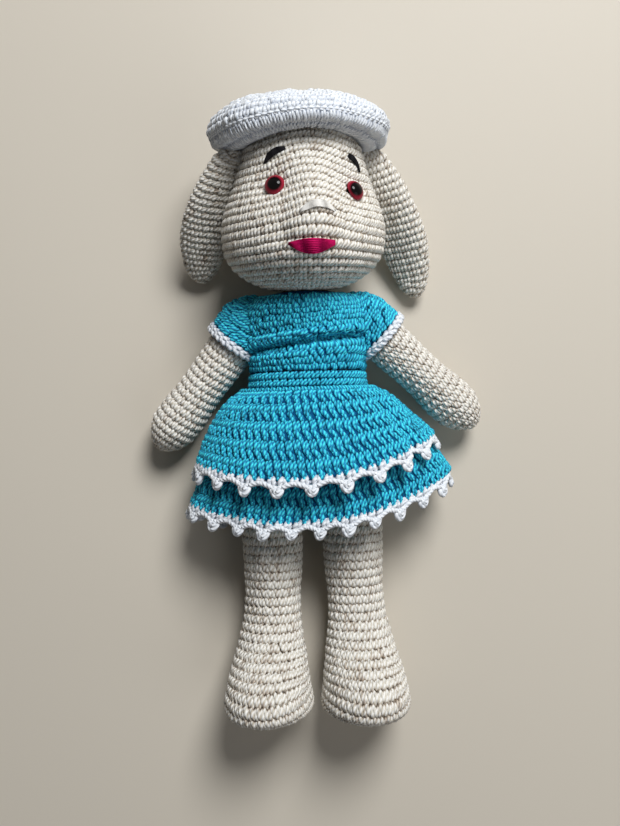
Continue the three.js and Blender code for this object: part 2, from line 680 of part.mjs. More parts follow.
function legSkin(offset, from, to, sides, steps) {
  const ball = LEG_RADIUS + offset;
  return capped(spread(from, to, steps).map((along) => {
    const halfWidth = ballEnded(ball, along, (place) => legHalfWidth(place) + offset);
    const halfDepth = ballEnded(ball, along, (place) => legHalfDepth(place) + offset);
    const forward = along > 0 ? footForward(along) : 0;
    return limbRing(sides, along, Math.max(halfWidth, TIP_RADIUS), Math.max(halfDepth, TIP_RADIUS), forward);
  }));
}

function addLeg(side) {
  const leg = legs[side];
  const table = carried(tableTop(), doll, leg);
  const limb = legSkin(0, -LEG_RADIUS, LEG_LENGTH, LIMB_SIDES, LEG_STEPS);
  const cavity = legSkin(-COVER_WALL, 0, LEG_LENGTH - COVER_WALL, CAVITY_SIDES, CAVITY_STEPS);
  addPiece(leg, `${side}_leg_cover`, cut(limb, table, cavity, sewnEnd(LEG_RADIUS)), cream);
  const inset = COVER_WALL + CLEARANCE;
  const stuffing = legSkin(-inset - CLEARANCE, CLEARANCE, LEG_LENGTH - inset, CAVITY_SIDES, CAVITY_STEPS);
  addPiece(leg, `${side}_leg_stuffing`, stuffing, filling);
}

// The room that each leg needs at the hip
function legRooms() {
  const room = limbRoom(LEG_RADIUS + CLEARANCE, 2 * LEG_RADIUS);
  return Object.values(legs).map((leg) => carried(room, leg, doll));
}

// Torso: oval rings from the seat up to the neck, where its axis comes forward to meet the head
const torsoHalfWidth = swell([
  [-SEAT_DEPTH_BELOW_WAIST, 0],
  [-HIP_DEPTH_BELOW_WAIST, HIP_HALF_WIDTH],
  [0, WAIST_HALF_WIDTH],
  [CHEST_HEIGHT, CHEST_HALF_WIDTH],
  [SHOULDER_HEIGHT, SHOULDER_HALF_WIDTH],
  [NECK_HEIGHT, NECK_RADIUS],
]);
const torsoHalfDepth = swell([
  [-SEAT_DEPTH_BELOW_WAIST, 0],
  [-HIP_DEPTH_BELOW_WAIST, HIP_HALF_DEPTH],
  [0, WAIST_HALF_DEPTH],
  [CHEST_HEIGHT, CHEST_HALF_DEPTH],
  [SHOULDER_HEIGHT, SHOULDER_HALF_DEPTH],
  [NECK_HEIGHT, NECK_RADIUS],
]);
const torsoAxis = smooth([
  [-SEAT_DEPTH_BELOW_WAIST, BODY_AXIS_Z],
  [0, BODY_AXIS_Z],
  [CHEST_HEIGHT, BODY_AXIS_Z],
  [NECK_HEIGHT, HEAD_BASE_Z - CLEARANCE],
]);

function torsoRing(offset, height, sides, floor = 0) {
  return ring(sides, (turn) => {
    const across = (torsoHalfWidth(height) + offset) * Math.sin(turn);
    const up = torsoAxis(height) + (torsoHalfDepth(height) + offset) * Math.cos(turn);
    return new THREE.Vector3(across, height, Math.max(up, floor));
  });
}

// Heights of the torso's rings, which the dress shares
const TORSO_HEIGHTS = [
  ...even(-SEAT_DEPTH_BELOW_WAIST, -HIP_DEPTH_BELOW_WAIST, 3),
  ...even(-HIP_DEPTH_BELOW_WAIST, SKIRT_TOP, 2).slice(1),
  ...even(-WAISTBAND_HALF_HEIGHT, WAISTBAND_HALF_HEIGHT, 2),
  ...even(WAISTBAND_HALF_HEIGHT, CHEST_HEIGHT, 2).slice(1),
  ...even(CHEST_HEIGHT, SHOULDER_HEIGHT, 2).slice(1),
  ...even(SHOULDER_HEIGHT, NECK_HEIGHT, 2).slice(1),
];

function torsoSkin(inset, sides) {
  const lowest = -SEAT_DEPTH_BELOW_WAIST + Math.max(inset, CLEARANCE);
  const heights = [lowest, ...TORSO_HEIGHTS.filter((height) => height > lowest)];
  return capped(heights.map((height) => torsoRing(-inset, height, sides)));
}

function neckStub(offset, from, to) {
  return carried(disc(NECK_RADIUS + offset, from, to), head, doll);
}

function addBody() {
  const rooms = [...sleeveRooms(), ...legRooms()];
  const neck = neckStub(0, -NECK_STUB, NECK_STUB);
  const outer = joined(torsoSkin(0, TORSO_SIDES), neck);
  const cavity = torsoSkin(COVER_WALL, CAVITY_SIDES);
  const neckBore = neckStub(-COVER_WALL, -HEAD_JAW_HEIGHT, 2 * NECK_STUB);
  addPiece(doll, "body_cover", cut(outer, cavity, neckBore, ...rooms), cream);
  const lining = torsoSkin(COVER_WALL + CLEARANCE, CAVITY_SIDES);
  const neckEnd = neckStub(CLEARANCE, -CLEARANCE, HEAD_HEIGHT);
  addPiece(doll, "body_stuffing", cut(lining, neckEnd, ...rooms), filling);
}

// Dress: a shell over the torso between two heights
function torsoTube(inner, outer, from, to) {
  const between = TORSO_HEIGHTS.filter((height) => height > from && height < to);
  const heights = [from, ...between, to];
  const outside = heights.map((height) => torsoRing(outer, height, TORSO_SIDES));
  const inside = heights.map((height) => torsoRing(inner, height, TORSO_SIDES, DRESS_WALL));
  return loft([...outside, ...inside.reverse()], true);
}

function addBodice() {
  const bottom = WAISTBAND_HALF_HEIGHT + CLEARANCE;
  const shell = torsoTube(CLEARANCE, DRESS_OFFSET, bottom, NECKLINE_HEIGHT);
  const neckRoom = neckStub(CLEARANCE, -NECK_HEIGHT, HEAD_HEIGHT);
  addPiece(doll, "bodice", cut(shell, neckRoom, ...sleeveRooms()), turquoise);
  const bandOffset = DRESS_OFFSET + WAISTBAND_RISE;
  const band = torsoTube(CLEARANCE, bandOffset, -WAISTBAND_HALF_HEIGHT, WAISTBAND_HALF_HEIGHT);
  addPiece(doll, "waistband", band, turquoise);
}

// Skirt surface: an angle from the front, and a share of the way from waist to hem
function skirtLength(skirt, angle) {
  return THREE.MathUtils.lerp(skirt.sideLength, skirt.frontLength, Math.cos(angle) * Math.cos(angle));
}

function skirtPoint(skirt, inset, angle, share) {
  const flare = Math.pow(share, skirt.swell);
  const rise = skirt.layer * DRESS_OFFSET;
  const halfWidth = THREE.MathUtils.lerp(torsoHalfWidth(SKIRT_TOP) + rise, skirt.side, flare) - inset;
  const front = THREE.MathUtils.lerp(torsoHalfDepth(SKIRT_TOP) + rise, skirt.front, flare) - inset;
  const back = BODY_AXIS_Z + FLAT_DEPTH;
  const sine = Math.sin(angle);
  const cosine = Math.cos(angle);
  const drop = skirtLength(skirt, angle) * share;
  const across = cosine < 0 ? halfWidth * Math.sign(sine) * Math.sqrt(Math.abs(sine)) : halfWidth * sine;
  const up = cosine < 0 ? -back * Math.sqrt(-cosine) : front * cosine;
  const floor = skirtFloor(skirt, drop) + (inset ? DRESS_WALL : 0);
  const point = new THREE.Vector3(across, SKIRT_TOP - drop, Math.max(BODY_AXIS_Z + up, floor));
  const turn = radians(SKIRT_TURN) * Math.min(1, drop / OVERSKIRT.sideLength);
  return point.applyAxisAngle(new THREE.Vector3(0, 0, 1), turn);
}

// The underskirt lies on the overskirt's back, and sinks to the table beyond its edging
function skirtFloor(skirt, drop) {
  const edge = OVERSKIRT.frontLength + TRIM_BAND + PICOT_REACH + DRESS_WALL;
  const past = THREE.MathUtils.clamp((drop - edge) / (UNDERSKIRT.frontLength - edge), 0, 1);
  return (OVERSKIRT.layer - skirt.layer) * DRESS_OFFSET * (1 - past);
}

function addSkirt(name, skirt, picots) {
  const skin = (inset) => SKIRT_SHARES.map((share) => {
    return ring(SKIRT_SIDES, (angle) => skirtPoint(skirt, inset, angle, share));
  });
  addPiece(doll, name, loft([...skin(0), ...skin(DRESS_WALL).reverse()], true), turquoise);
  const wave = (angle) => PICOT_REACH * Math.pow(Math.cos((picots * angle) / 2), PICOT_SHARPNESS);
  const edgeRing = (inset, reach) => ring(picots * PICOT_STEPS, (angle) => {
    return skirtPoint(skirt, inset, angle, 1 + reach(angle) / skirtLength(skirt, angle));
  });
  const start = () => 2 * CLEARANCE; // the edging has finer facets than the skirt's hem
  const end = (angle) => TRIM_BAND + wave(angle);
  const outside = [edgeRing(0, start), edgeRing(0, end)];
  const inside = [edgeRing(DRESS_WALL, end), edgeRing(DRESS_WALL, start)];
  addPiece(doll, `${name}_trim`, loft([...outside, ...inside], true), white);
}

addHead();
addEar("left");
addEar("right");
addBeret();
addBody();
addBodice();
addSkirt("overskirt", OVERSKIRT, OVERSKIRT_PICOTS);
addSkirt("underskirt", UNDERSKIRT, UNDERSKIRT_PICOTS);
for (const side of ["left", "right"]) {
  addArm(side);
  addLeg(side);
}

export default doll;
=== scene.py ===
# Looks of a crocheted rabbit doll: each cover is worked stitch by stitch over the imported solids.
import json
import math

import bmesh
import bpy
import numpy as np
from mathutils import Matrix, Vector
from mathutils.bvhtree import BVHTree


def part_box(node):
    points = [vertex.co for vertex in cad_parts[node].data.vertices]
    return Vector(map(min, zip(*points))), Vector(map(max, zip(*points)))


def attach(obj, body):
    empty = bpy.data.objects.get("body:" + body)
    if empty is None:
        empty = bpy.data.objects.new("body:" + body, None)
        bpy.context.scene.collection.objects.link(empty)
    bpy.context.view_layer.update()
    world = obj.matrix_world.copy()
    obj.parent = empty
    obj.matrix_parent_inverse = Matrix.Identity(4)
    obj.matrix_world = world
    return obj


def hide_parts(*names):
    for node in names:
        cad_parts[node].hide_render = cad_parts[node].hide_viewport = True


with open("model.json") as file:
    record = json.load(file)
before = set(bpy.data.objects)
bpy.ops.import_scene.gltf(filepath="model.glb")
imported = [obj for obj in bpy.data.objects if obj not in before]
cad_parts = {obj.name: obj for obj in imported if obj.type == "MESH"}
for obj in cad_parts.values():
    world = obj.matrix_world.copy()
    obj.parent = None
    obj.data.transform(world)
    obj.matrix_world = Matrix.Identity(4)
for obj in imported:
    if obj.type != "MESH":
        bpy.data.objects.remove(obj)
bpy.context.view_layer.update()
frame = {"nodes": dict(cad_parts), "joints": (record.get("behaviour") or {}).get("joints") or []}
nodes = frame["nodes"]
joints = {joint["name"]: joint for joint in frame["joints"]}
scatter = np.random.default_rng(11)

SIDES = ("left", "right")
DOWN = np.array([0, 0, -1.0])
UP_BODY = np.array([0, 1.0, 0])

# Yarn and stitches, in metres
YARN = 0.00100
ROW = 0.00335
STITCH = 0.0034
SLANTED_STITCH = 0.0029
TALL_ROW = 0.0069
TALL_STITCH = 0.0034
YOKE_ROW = TALL_ROW * 0.82
YOKE_YARN = YARN * 1.08
YOKE_WOBBLE = 2.2  # the yoke is worked this much less evenly
TIP = 0.0005  # the last row of a limb ends this far from its tip
BEAD = 1.08  # a bead of a short stitch is this much broader than it is high
SINK = 0.0010  # the padding lies this far under the stitches' skin
CLOTH_DEPTH = 0.0018


# Surfaces

REACH = 0.3  # rays start this far out
SKIN_STEP = 0.001  # distance between the rows of a closed skin
TUBE_STEP = 0.0008  # and of an open one
TUBE_BLUR = (1.5, 3)
CAP_ROWS = 24
POLE = 1e-5  # the corners at a pole lie this far from it
EDGE_TRIES = 14


def unit(vector):
    vector = np.asarray(vector, float)
    return vector / np.maximum(np.linalg.norm(vector, axis=-1, keepdims=True), 1e-12)


def smooth_step(value, low, high):
    share = np.clip((value - low) / (high - low), 0, 1)
    return share * share * (3 - 2 * share)


def hill(value, start, top, fall, end):
    """Rises from start to top, and goes down again from fall to end."""
    return smooth_step(value, start, top) * (1 - smooth_step(value, fall, end))


def bell(value, width):
    return np.exp(-(value / width) ** 2)


def points_of(node):
    mesh = nodes[node].data
    flat = np.empty(len(mesh.vertices) * 3)
    mesh.vertices.foreach_get("co", flat)
    return flat.reshape(-1, 3)


def tree_of(node):
    mesh = nodes[node].data
    return BVHTree.FromPolygons([v.co for v in mesh.vertices], [p.vertices for p in mesh.polygons])


def soften(table, rows, columns):
    """Blurs a table that closes round its columns, by so many rows and columns."""
    for axis, spread in ((0, rows), (1, columns)):
        if spread <= 0:
            continue
        reach = int(math.ceil(3 * spread))
        weights = np.exp(-0.5 * (np.arange(-reach, reach + 1) / spread) ** 2)
        weights /= weights.sum()
        pad = [(0, 0)] * table.ndim
        pad[axis] = (reach, reach)
        padded = np.pad(table, pad, mode="wrap" if axis else "edge")
        size = table.shape[axis]
        table = sum(w * padded.take(range(i, i + size), axis) for i, w in enumerate(weights))
    return table


def fill_gaps(table):
    """Fills the places where a ray met nothing, from their neighbours round the nearest good row."""
    table = table.copy()
    columns = np.arange(table.shape[1])
    good_rows = np.flatnonzero(np.isfinite(table).sum(1) > 4)
    for k in range(len(table)):
        row = table[good_rows[np.argmin(np.abs(good_rows - k))]]
        known = np.isfinite(row)
        table[k] = np.interp(columns, columns[known], row[known], period=len(columns))
    return table


class Skin:
    """A surface as a table of points. Rows follow each other along it, and each row closes round it."""

    def __init__(self, points, gaps=None):
        rows, columns = points.shape[:2]
        steps = np.linalg.norm(np.diff(points, axis=1, append=points[:, :1]), axis=2)
        self.girth = steps.sum(1)
        gaps = np.zeros((rows, columns)) if gaps is None else gaps
        table = np.concatenate([points, gaps[..., None]], 2)
        even = np.arange(columns) / columns
        walked = (np.cumsum(steps, 1) - steps) / self.girth[:, None]
        spaced = np.array([[np.interp(even, walked[k], table[k, :, i], period=1) for i in range(4)]
                           for k in range(rows)])
        self.points = np.swapaxes(spaced[:, :3], 1, 2)
        self.gaps = spaced[:, 3]
        along = np.linalg.norm(np.diff(self.points, axis=0), axis=2).mean(1)
        self.arc = np.concatenate([[0], np.cumsum(along)])
        self.length = self.arc[-1]
        round_it = np.roll(self.points, -1, 1) - np.roll(self.points, 1, 1)
        normals = unit(np.cross(round_it, np.gradient(self.points, axis=0)))
        middle = self.points.mean(1, keepdims=True)
        if np.sum(normals * (self.points - middle)) < 0:
            normals = -normals
        self.normals = unit(soften(normals, 1.5, 1.5))

    def look_up(self, table, arc, share):
        row = np.clip(np.interp(arc, self.arc, np.arange(len(self.arc))), 0, len(self.arc) - 1.001)
        column = np.mod(share, 1) * table.shape[1]
        k, j = row.astype(int), column.astype(int) % table.shape[1]
        row_part, column_part = row - k, column - np.floor(column)
        if table.ndim == 3:
            row_part, column_part = row_part[..., None], column_part[..., None]
        after = (j + 1) % table.shape[1]
        near = table[k, j] * (1 - column_part) + table[k, after] * column_part
        far = table[k + 1, j] * (1 - column_part) + table[k + 1, after] * column_part
        return near * (1 - row_part) + far * row_part

    def at(self, arc, share, rise=0):
        """Points and outward directions at places along and round the skin."""
        arc, share = np.broadcast_arrays(np.asarray(arc, float), np.asarray(share, float))
        normals = unit(self.look_up(self.normals, arc, share))
        lift = np.asarray(rise, float)[..., None]
        return self.look_up(self.points, arc, share) + lift * normals, normals

    def girth_at(self, arc):
        return float(np.interp(arc, self.arc, self.girth))


def distance(tree, centre, direction):
    """How far a surface is from a centre, seen from outside. A ray that meets nothing gives no number."""
    hit = tree.ray_cast(Vector(centre + REACH * direction), Vector(-direction), REACH)
    return np.nan if hit[0] is None else REACH - hit[3]


def cast(tree, centres, directions):
    return np.array([[distance(tree, centre, direction) for direction in row]
                     for centre, row in zip(centres, directions)])


def edge_between(covered, beyond, distance_at):
    """The last covered place on the way to one beyond the edge of a surface, found by halving the way."""
    for _ in range(EDGE_TRIES):
        middle = (covered + beyond) / 2
        if np.isnan(distance_at(middle)):
            beyond = middle
        else:
            covered = middle
    return covered


def wheel(axis, zero, columns):
    """Directions square to an axis, starting at zero."""
    zero = unit(np.asarray(zero) - np.dot(zero, axis) * np.asarray(axis))
    side = np.cross(axis, zero)
    angle = 2 * np.pi * np.arange(columns) / columns
    return np.cos(angle)[:, None] * zero + np.sin(angle)[:, None] * side


def closed_skin(node, origin, axis, zero, caps, columns, blur):
    """The outside of a stuffed form round an axis, with the lengths of its two rounded ends as caps."""
    axis = unit(axis)
    along = (points_of(node) - origin) @ axis
    low, high = along.min() + caps[0], along.max() - caps[1]
    steps = int((high - low) / SKIN_STEP)
    heights = np.pad(np.linspace(low, high, steps), CAP_ROWS, mode="edge")
    square = np.pi / 2
    tilt = np.concatenate([np.linspace(np.pi, square, CAP_ROWS + 1)[:-1], np.full(steps, square),
                           np.linspace(square, 0, CAP_ROWS + 1)[1:]])
    spokes = wheel(axis, zero, columns)
    directions = np.cos(tilt)[:, None, None] * axis + np.sin(tilt)[:, None, None] * spokes
    centres = np.asarray(origin) + heights[:, None] * axis
    reach = soften(fill_gaps(cast(tree_of(node), centres, directions)), *blur)
    reach[0] = reach[0].mean()
    reach[-1] = reach[-1].mean()
    points = centres[:, None] + directions * reach[..., None]
    points[0] += POLE * directions[1]
    points[-1] += POLE * directions[-2]
    return Skin(points)


def open_skin(node, origin, axis, margins, columns):
    """The outside of a tube round an axis, but for a margin at each end. Its holes are noted as gaps."""
    along = (points_of(node) - origin) @ axis
    low, high = along.min() + margins[0], along.max() - margins[1]
    heights = np.linspace(low, high, max(6, int((high - low) / TUBE_STEP)))
    directions = np.repeat(wheel(axis, DOWN, columns)[None], len(heights), 0)
    centres = np.asarray(origin) + heights[:, None] * axis
    found = cast(tree_of(node), centres, directions)
    reach = soften(fill_gaps(found), *TUBE_BLUR)
    return Skin(centres[:, None] + directions * reach[..., None], np.isnan(found).astype(float))


# Strands of yarn

# A stitch is a few strands, each given by its ends across and along the stitch, and its thickness and rise
SHORT_STRANDS = [
    ((-0.33, 0.49), (-0.17, -0.49), 1.12, 1.0),
    ((0.31, 0.49), (0.19, -0.49), 1.12, 0.9),
]
SLANTED_STRANDS = [
    ((0.34, -0.60), (-0.26, 0.44), 1.00, 1.0),
    ((0.74, -0.46), (0.30, 0.56), 0.92, 0.7),
]
TALL_STRANDS = [
    ((-0.24, -0.50), (-0.12, 0.16), 1.02, 1.0),
    ((0.26, -0.50), (0.18, 0.08), 0.92, 0.8),
    ((-0.36, 0.02), (0.34, 0.38), 1.12, 1.3),
    ((-0.12, 0.26), (0.34, 0.56), 0.98, 0.9),
]
YOKE_STRANDS = [
    ((-0.45, -0.54), (0.05, 0.12), 0.92, 1.0),
    ((0.02, -0.50), (0.48, 0.10), 0.90, 0.8),
    ((-0.42, -0.02), (0.18, 0.54), 0.96, 1.2),
    ((0.10, 0.02), (0.58, 0.52), 0.90, 0.9),
]
TOOTH_STRANDS = [
    ((-0.27, 0.52), (-0.10, -0.46), 1.05, 1.0),
    ((0.27, 0.52), (0.10, -0.46), 1.05, 0.9),
]
LONG_STRANDS = [
    ((-0.45, 0.52), (-0.05, -0.52), 0.95, 1.0),
    ((0.05, 0.52), (0.45, -0.52), 0.95, 0.8),
]
POINTS = 6
ALONG = np.linspace(0, 1, POINTS)
SWELL = np.sin(np.pi * (0.05 + 0.9 * ALONG)) ** 0.7  # full in the middle, thin where the ends tuck under
TUBE_SIDES = 6
FEWEST_STITCHES = 6
ROW_SHIFT = 0.382  # each row starts this share of a stitch further round than the one before
TUCK = 1.1  # how deep the ends of a strand dive, in yarn radii
RISE_STEP = 0.12  # what one step of a strand's rise lifts it, in yarn radii
THIN_END = 0.58  # how thick a strand is at its ends
UNEVEN = (0.03, 0.025, 0.07, 0.05)  # how far strands stray across, along and out, and in thickness
UNEVEN_TINT = 0.08
OVERLAP = 0.15  # the loops of a rope overlap by this share of their width at each end
ROPE_TINT = 0.04
END_BAND = 0.05  # share of a strand's texture at each end
CAP_BAND = 0.03  # and how much of that is the cap
CELL_RIM = 0.06  # free share at each side of a strand's cell in the texture


def lay(yarns, skin, first, last, row, width, strands=SHORT_STRANDS, yarn=YARN, warp=None, keep=None,
        wobble=1.0, broad=1.0, inside=0.0):
    """Adds rows of stitches round a skin, from one place along it to another, or inside it at a depth."""
    count = max(1, round(abs(last - first) / row))
    height = (last - first) / count
    for k in range(count):
        middle = first + (k + 0.5) * height
        stitches = max(FEWEST_STITCHES, round(skin.girth_at(middle) / width))
        start = (np.arange(stitches) + ROW_SHIFT * k) / stitches
        for (across_0, along_0), (across_1, along_1), thick, rise in strands:
            across = across_0 + (across_1 - across_0) * ALONG
            along = along_0 + (along_1 - along_0) * ALONG
            jitter = scatter.normal(0, wobble, (4, stitches, 1)) * np.reshape(UNEVEN, (4, 1, 1))
            shares = start[:, None] + (across + jitter[0]) / stitches
            arcs = middle + (along + jitter[1]) * height
            if warp is not None:
                arcs = arcs + warp(shares, arcs)
            rises = yarn * (RISE_STEP * (rise - 1) + TUCK * (SWELL - 1) + jitter[2])
            lines, normals = skin.at(arcs, shares, -inside - rises if inside else rises)
            if inside:
                normals = -normals
            radii = yarn * thick * (THIN_END + (1 - THIN_END) * SWELL) * (1 + jitter[3])
            tints = 1 + UNEVEN_TINT * scatter.normal(0, 1, stitches)
            wanted = np.ones(stitches, bool)
            if keep is not None:
                wanted = keep(lines[:, POINTS // 2], shares[:, POINTS // 2], arcs[:, POINTS // 2])
            # how far each point stands out of its tuck; tube_mesh paints the lower parts darker, as painted
            # shade
            depths = np.tile(SWELL, (wanted.sum(), 1))
            yarns.append((lines[wanted], normals[wanted], radii[wanted], tints[wanted], depths, broad))
    return yarns


def rope(yarns, skin, arc, width, yarn, slant, rise=0.0):
    """A ridge of slanted loops round a skin, at a place along it."""
    stitches = max(FEWEST_STITCHES, round(skin.girth_at(arc) / width))
    shares = (np.arange(stitches)[:, None] + (1 + 2 * OVERLAP) * ALONG - OVERLAP) / stitches
    lines, normals = skin.at(arc + (ALONG - 0.5) * slant * width, shares, rise + yarn * SWELL / 2)
    radii = np.tile(yarn * (0.7 + 0.3 * SWELL), (stitches, 1))
    tints = 1 + ROPE_TINT * scatter.normal(0, 1, stitches)
    yarns.append((lines, normals, radii, tints, np.tile(SWELL, (stitches, 1)), 1.0))


def ring_faces(rows, columns):
    """Faces between rows of corners that each close round."""
    row, column = np.divmod(np.arange((rows - 1) * columns), columns)
    here, after = row * columns + column, row * columns + (column + 1) % columns
    return np.stack([here, after, after + columns, here + columns], -1)


def closed_faces(rows, columns):
    """The same, and fans that close both ends to two more corners, the one at the start first."""
    start = rows * columns
    last = start - columns
    faces = ring_faces(rows, columns).tolist()
    for column in range(columns):
        after = (column + 1) % columns
        faces.append([start, after, column])
        faces.append([start + 1, last + column, last + after])
    return faces


def tube_mesh(name, yarns, material):
    """Turns strands into one mesh of closed tubes, with a place of its own in the texture for each."""
    cells = math.ceil(math.sqrt(sum(len(batch[0]) for batch in yarns)))
    corners, quads, bake, twist, shade = [], [], [], [], []
    laid = 0
    vertices = 0
    angle = 2 * np.pi * np.arange(TUBE_SIDES) / TUBE_SIDES
    half = TUBE_SIDES // 2
    first = np.array([[half, 2, 1, 0], [0, TUBE_SIDES - 1, half + 1, half]])
    cap_u = np.tile([0.1, 0.4, 0.4, 0.1], 4) + np.repeat([0, 0.5, 0, 0.5], 4)
    cap_v = np.repeat([0, CAP_BAND, 0, CAP_BAND, 1 - CAP_BAND, 1, 1 - CAP_BAND, 1], 2)
    for lines, normals, radii, tints, depths, broad in yarns:
        count, rings = lines.shape[:2]
        if not count:
            continue
        tangents = unit(np.gradient(lines, axis=1))
        sides = unit(np.cross(tangents, normals))[:, :, None]
        ups = np.cross(sides, tangents[:, :, None])
        circle = broad * np.cos(angle)[:, None] * sides + np.sin(angle)[:, None] * ups
        corners.append((lines[:, :, None] + radii[..., None, None] * circle).reshape(-1, 3))
        last = first[:, ::-1] + (rings - 1) * TUBE_SIDES
        one = np.concatenate([ring_faces(rings, TUBE_SIDES), first, last])
        starts = vertices + np.arange(count) * rings * TUBE_SIDES
        quads.append((one + starts[:, None, None]).reshape(-1, 4))
        ring, side = np.divmod(np.arange((rings - 1) * TUBE_SIDES), TUBE_SIDES)
        u = np.stack([side, side + 1, side + 1, side], -1).reshape(-1) / TUBE_SIDES
        v = np.stack([ring, ring, ring + 1, ring + 1], -1).reshape(-1) / (rings - 1)
        v = END_BAND + (1 - 2 * END_BAND) * v
        local = np.stack([np.concatenate([u, cap_u]), np.concatenate([v, cap_v])], -1)
        row, column = np.divmod(laid + np.arange(count), cells)
        cell = np.stack([column, row], -1)[:, None]
        bake.append(((cell + CELL_RIM + (1 - 2 * CELL_RIM) * local) / cells).reshape(-1, 2))
        twist.append(np.tile(local, (count, 1)))
        # painted shade: each strand is darker towards its tucked ends and on its underside, down to its
        # under colour, times its own random tint
        under = np.clip(depths, 0, 1)[:, :, None] * (0.75 + 0.25 * np.sin(angle))
        shade.append((tints[:, None, None] * (0.5 + 0.5 * under)).reshape(-1))
        laid += count
        vertices += count * rings * TUBE_SIDES
    layers = [("OFBake", np.concatenate(bake)), ("yarn", np.concatenate(twist))]
    return mesh_object(name, np.concatenate(corners), np.concatenate(quads), material, layers,
                       np.concatenate(shade))


def add_object(name, data):
    made = bpy.data.objects.new(name, data)
    bpy.context.scene.collection.objects.link(made)
    return made


def mesh_object(name, corners, faces, material, layers=(), shade=None):
    """A smooth mesh that doesn't reach under the table, with its layers of texture places."""
    corners = np.array(corners, float)
    corners[:, 2] = np.maximum(corners[:, 2], 0.0)
    mesh = bpy.data.meshes.new(name)
    mesh.from_pydata(corners, [], faces)
    for label, places in layers:
        layer = mesh.uv_layers.new(name=label)
        layer.uv.foreach_set("vector", places.astype(np.float32).ravel())
    if shade is not None:
        mesh.attributes.new("shade", "FLOAT", "POINT").data.foreach_set("value", shade.astype(np.float32))
    mesh.shade_smooth()
    mesh.materials.append(material)
    return add_object(name, mesh)


def facing_out(piece):
    work = bmesh.new()
    work.from_mesh(piece.data)
    bmesh.ops.recalc_face_normals(work, faces=work.faces)
    work.to_mesh(piece.data)
    work.free()
    return piece


PADDING_STEP = 0.0012
PADDING_COLUMNS = 72
CLOTH_STEP = 0.0015
CLOTH_COLUMNS = 144
RIB = 0.0003  # the inner side of a cloth that shows is ribbed by this much


def padding(name, skin, material):
    """A closed form that fills a skin, a little under its surface."""
    rows = max(12, int(skin.length / PADDING_STEP))
    arcs = np.linspace(0, skin.length, rows + 2)[1:-1]
    shares = np.arange(PADDING_COLUMNS) / PADDING_COLUMNS
    grid, _ = skin.at(arcs[:, None], shares[None], -SINK)
    corners = np.concatenate([grid.reshape(-1, 3), [grid[0].mean(0), grid[-1].mean(0)]])
    return facing_out(mesh_object(name, corners, closed_faces(rows, PADDING_COLUMNS), material))


def cloth(name, material, skin, first, last, outer, inner, columns=CLOTH_COLUMNS, rib=0.0):
    """A closed sheet of fabric between two depths under a skin."""
    rows = max(3, int((last - first) / CLOTH_STEP) + 1)
    arcs = np.linspace(first, last, rows)
    shares = np.arange(columns) / columns
    ridges = rib * np.cos(2 * np.pi * arcs / ROW)[:, None] * np.cos(np.pi * columns * shares / 2)
    out, _ = skin.at(arcs[:, None], shares[None], -outer)
    back, _ = skin.at(arcs[:, None], shares[None], -inner - ridges)
    corners = np.concatenate([out, back[::-1]]).reshape(-1, 3)
    faces = ring_faces(2 * rows + 1, columns) % len(corners)
    return facing_out(mesh_object(name, corners, faces, material))


# Materials

# Each yarn: its colour, its darker colour on the undersides and tucked ends of its strands (painted shade),
# how strongly its plies are painted lighter and darker (painted glints and shade), and the two colours of
# the padding and cloth behind it, darker than the yarn as painted shade in the gaps between stitches
YARNS = {
    "cream": ((229, 225, 216), (134, 109, 82), 0.45, (136, 118, 94), (88, 70, 52)),
    "white": ((228, 232, 237), (184, 191, 205), 0.3, (204, 208, 217), (172, 178, 192)),
    "turquoise": ((58, 188, 216), (2, 70, 116), 0.6, (6, 88, 134), (2, 58, 100)),
}
# Each thread: its colour, its darker colour on the undersides of its threads (painted shade), and how
# strongly its plies are painted lighter and darker (painted glints and shade)
THREADS = {
    "magenta": ((196, 6, 90), (96, 0, 42), 0.15),
    "black": ((24, 22, 26), (8, 8, 10), 0.15),
    "satin": ((240, 237, 231), (200, 191, 178), 0.1),
}
PLIES = 3  # plies that show across and along a strand
FIBRE_SCALE = 1800
FELT_SCALE = 900
FUZZ = 0.3


def from_srgb(red, green, blue):
    """A colour as a photograph shows it, 0 to 255, in the numbers that a shader takes."""
    shares = [value / 255 for value in (red, green, blue)]
    return tuple(v / 12.92 if v <= 0.04045 else ((v + 0.055) / 1.055) ** 2.4 for v in shares)


def feed(node, *sockets, **named):
    """Gives each input of a node a value, or links it to a socket. A low line in a name is a space."""
    inputs = list(enumerate(sockets)) + [(name.replace("_", " "), value) for name, value in named.items()]
    for name, value in inputs:
        if isinstance(value, bpy.types.NodeSocket):
            node.id_data.links.new(value, node.inputs[name])
        else:
            node.inputs[name].default_value = value
    return node


def put(made, kind, *sockets, **named):
    return feed(made.new(f"ShaderNode{kind}"), *sockets, **named)


def principled(name, **named):
    """A new material with its nodes and its shader."""
    material = bpy.data.materials.new(name)
    material.use_nodes = True
    made = material.node_tree.nodes
    return material, made, feed(made["Principled BSDF"], **named)


def color_ramp(made, place, stops):
    ramp = put(made, "ValToRGB", place)
    while len(ramp.color_ramp.elements) < len(stops):
        ramp.color_ramp.elements.new(0.5)
    for element, (share, color) in zip(ramp.color_ramp.elements, stops):
        element.position = share
        element.color = (*from_srgb(*color), 1)
    return ramp.outputs["Color"]


def noise(made, scale, detail):
    place = put(made, "TexCoord").outputs["Object"]
    return put(made, "TexNoise", place, Scale=scale, Detail=detail).outputs["Fac"]


def layer_of(made, name):
    node = put(made, "UVMap")
    node.uv_map = name
    return node.outputs["UV"]


def overlay(made, below, above, factor):
    """Lightens and darkens one colour by another."""
    mix = put(made, "Mix")
    mix.data_type = "RGBA"
    mix.blend_type = "OVERLAY"
    return feed(mix, Factor=factor, A=below, B=above).outputs["Result"]


def bump(made, heights, strength, depth, **under):
    node = put(made, "Bump", Height=heights, Strength=strength, Distance=depth, **under)
    return node.outputs["Normal"]


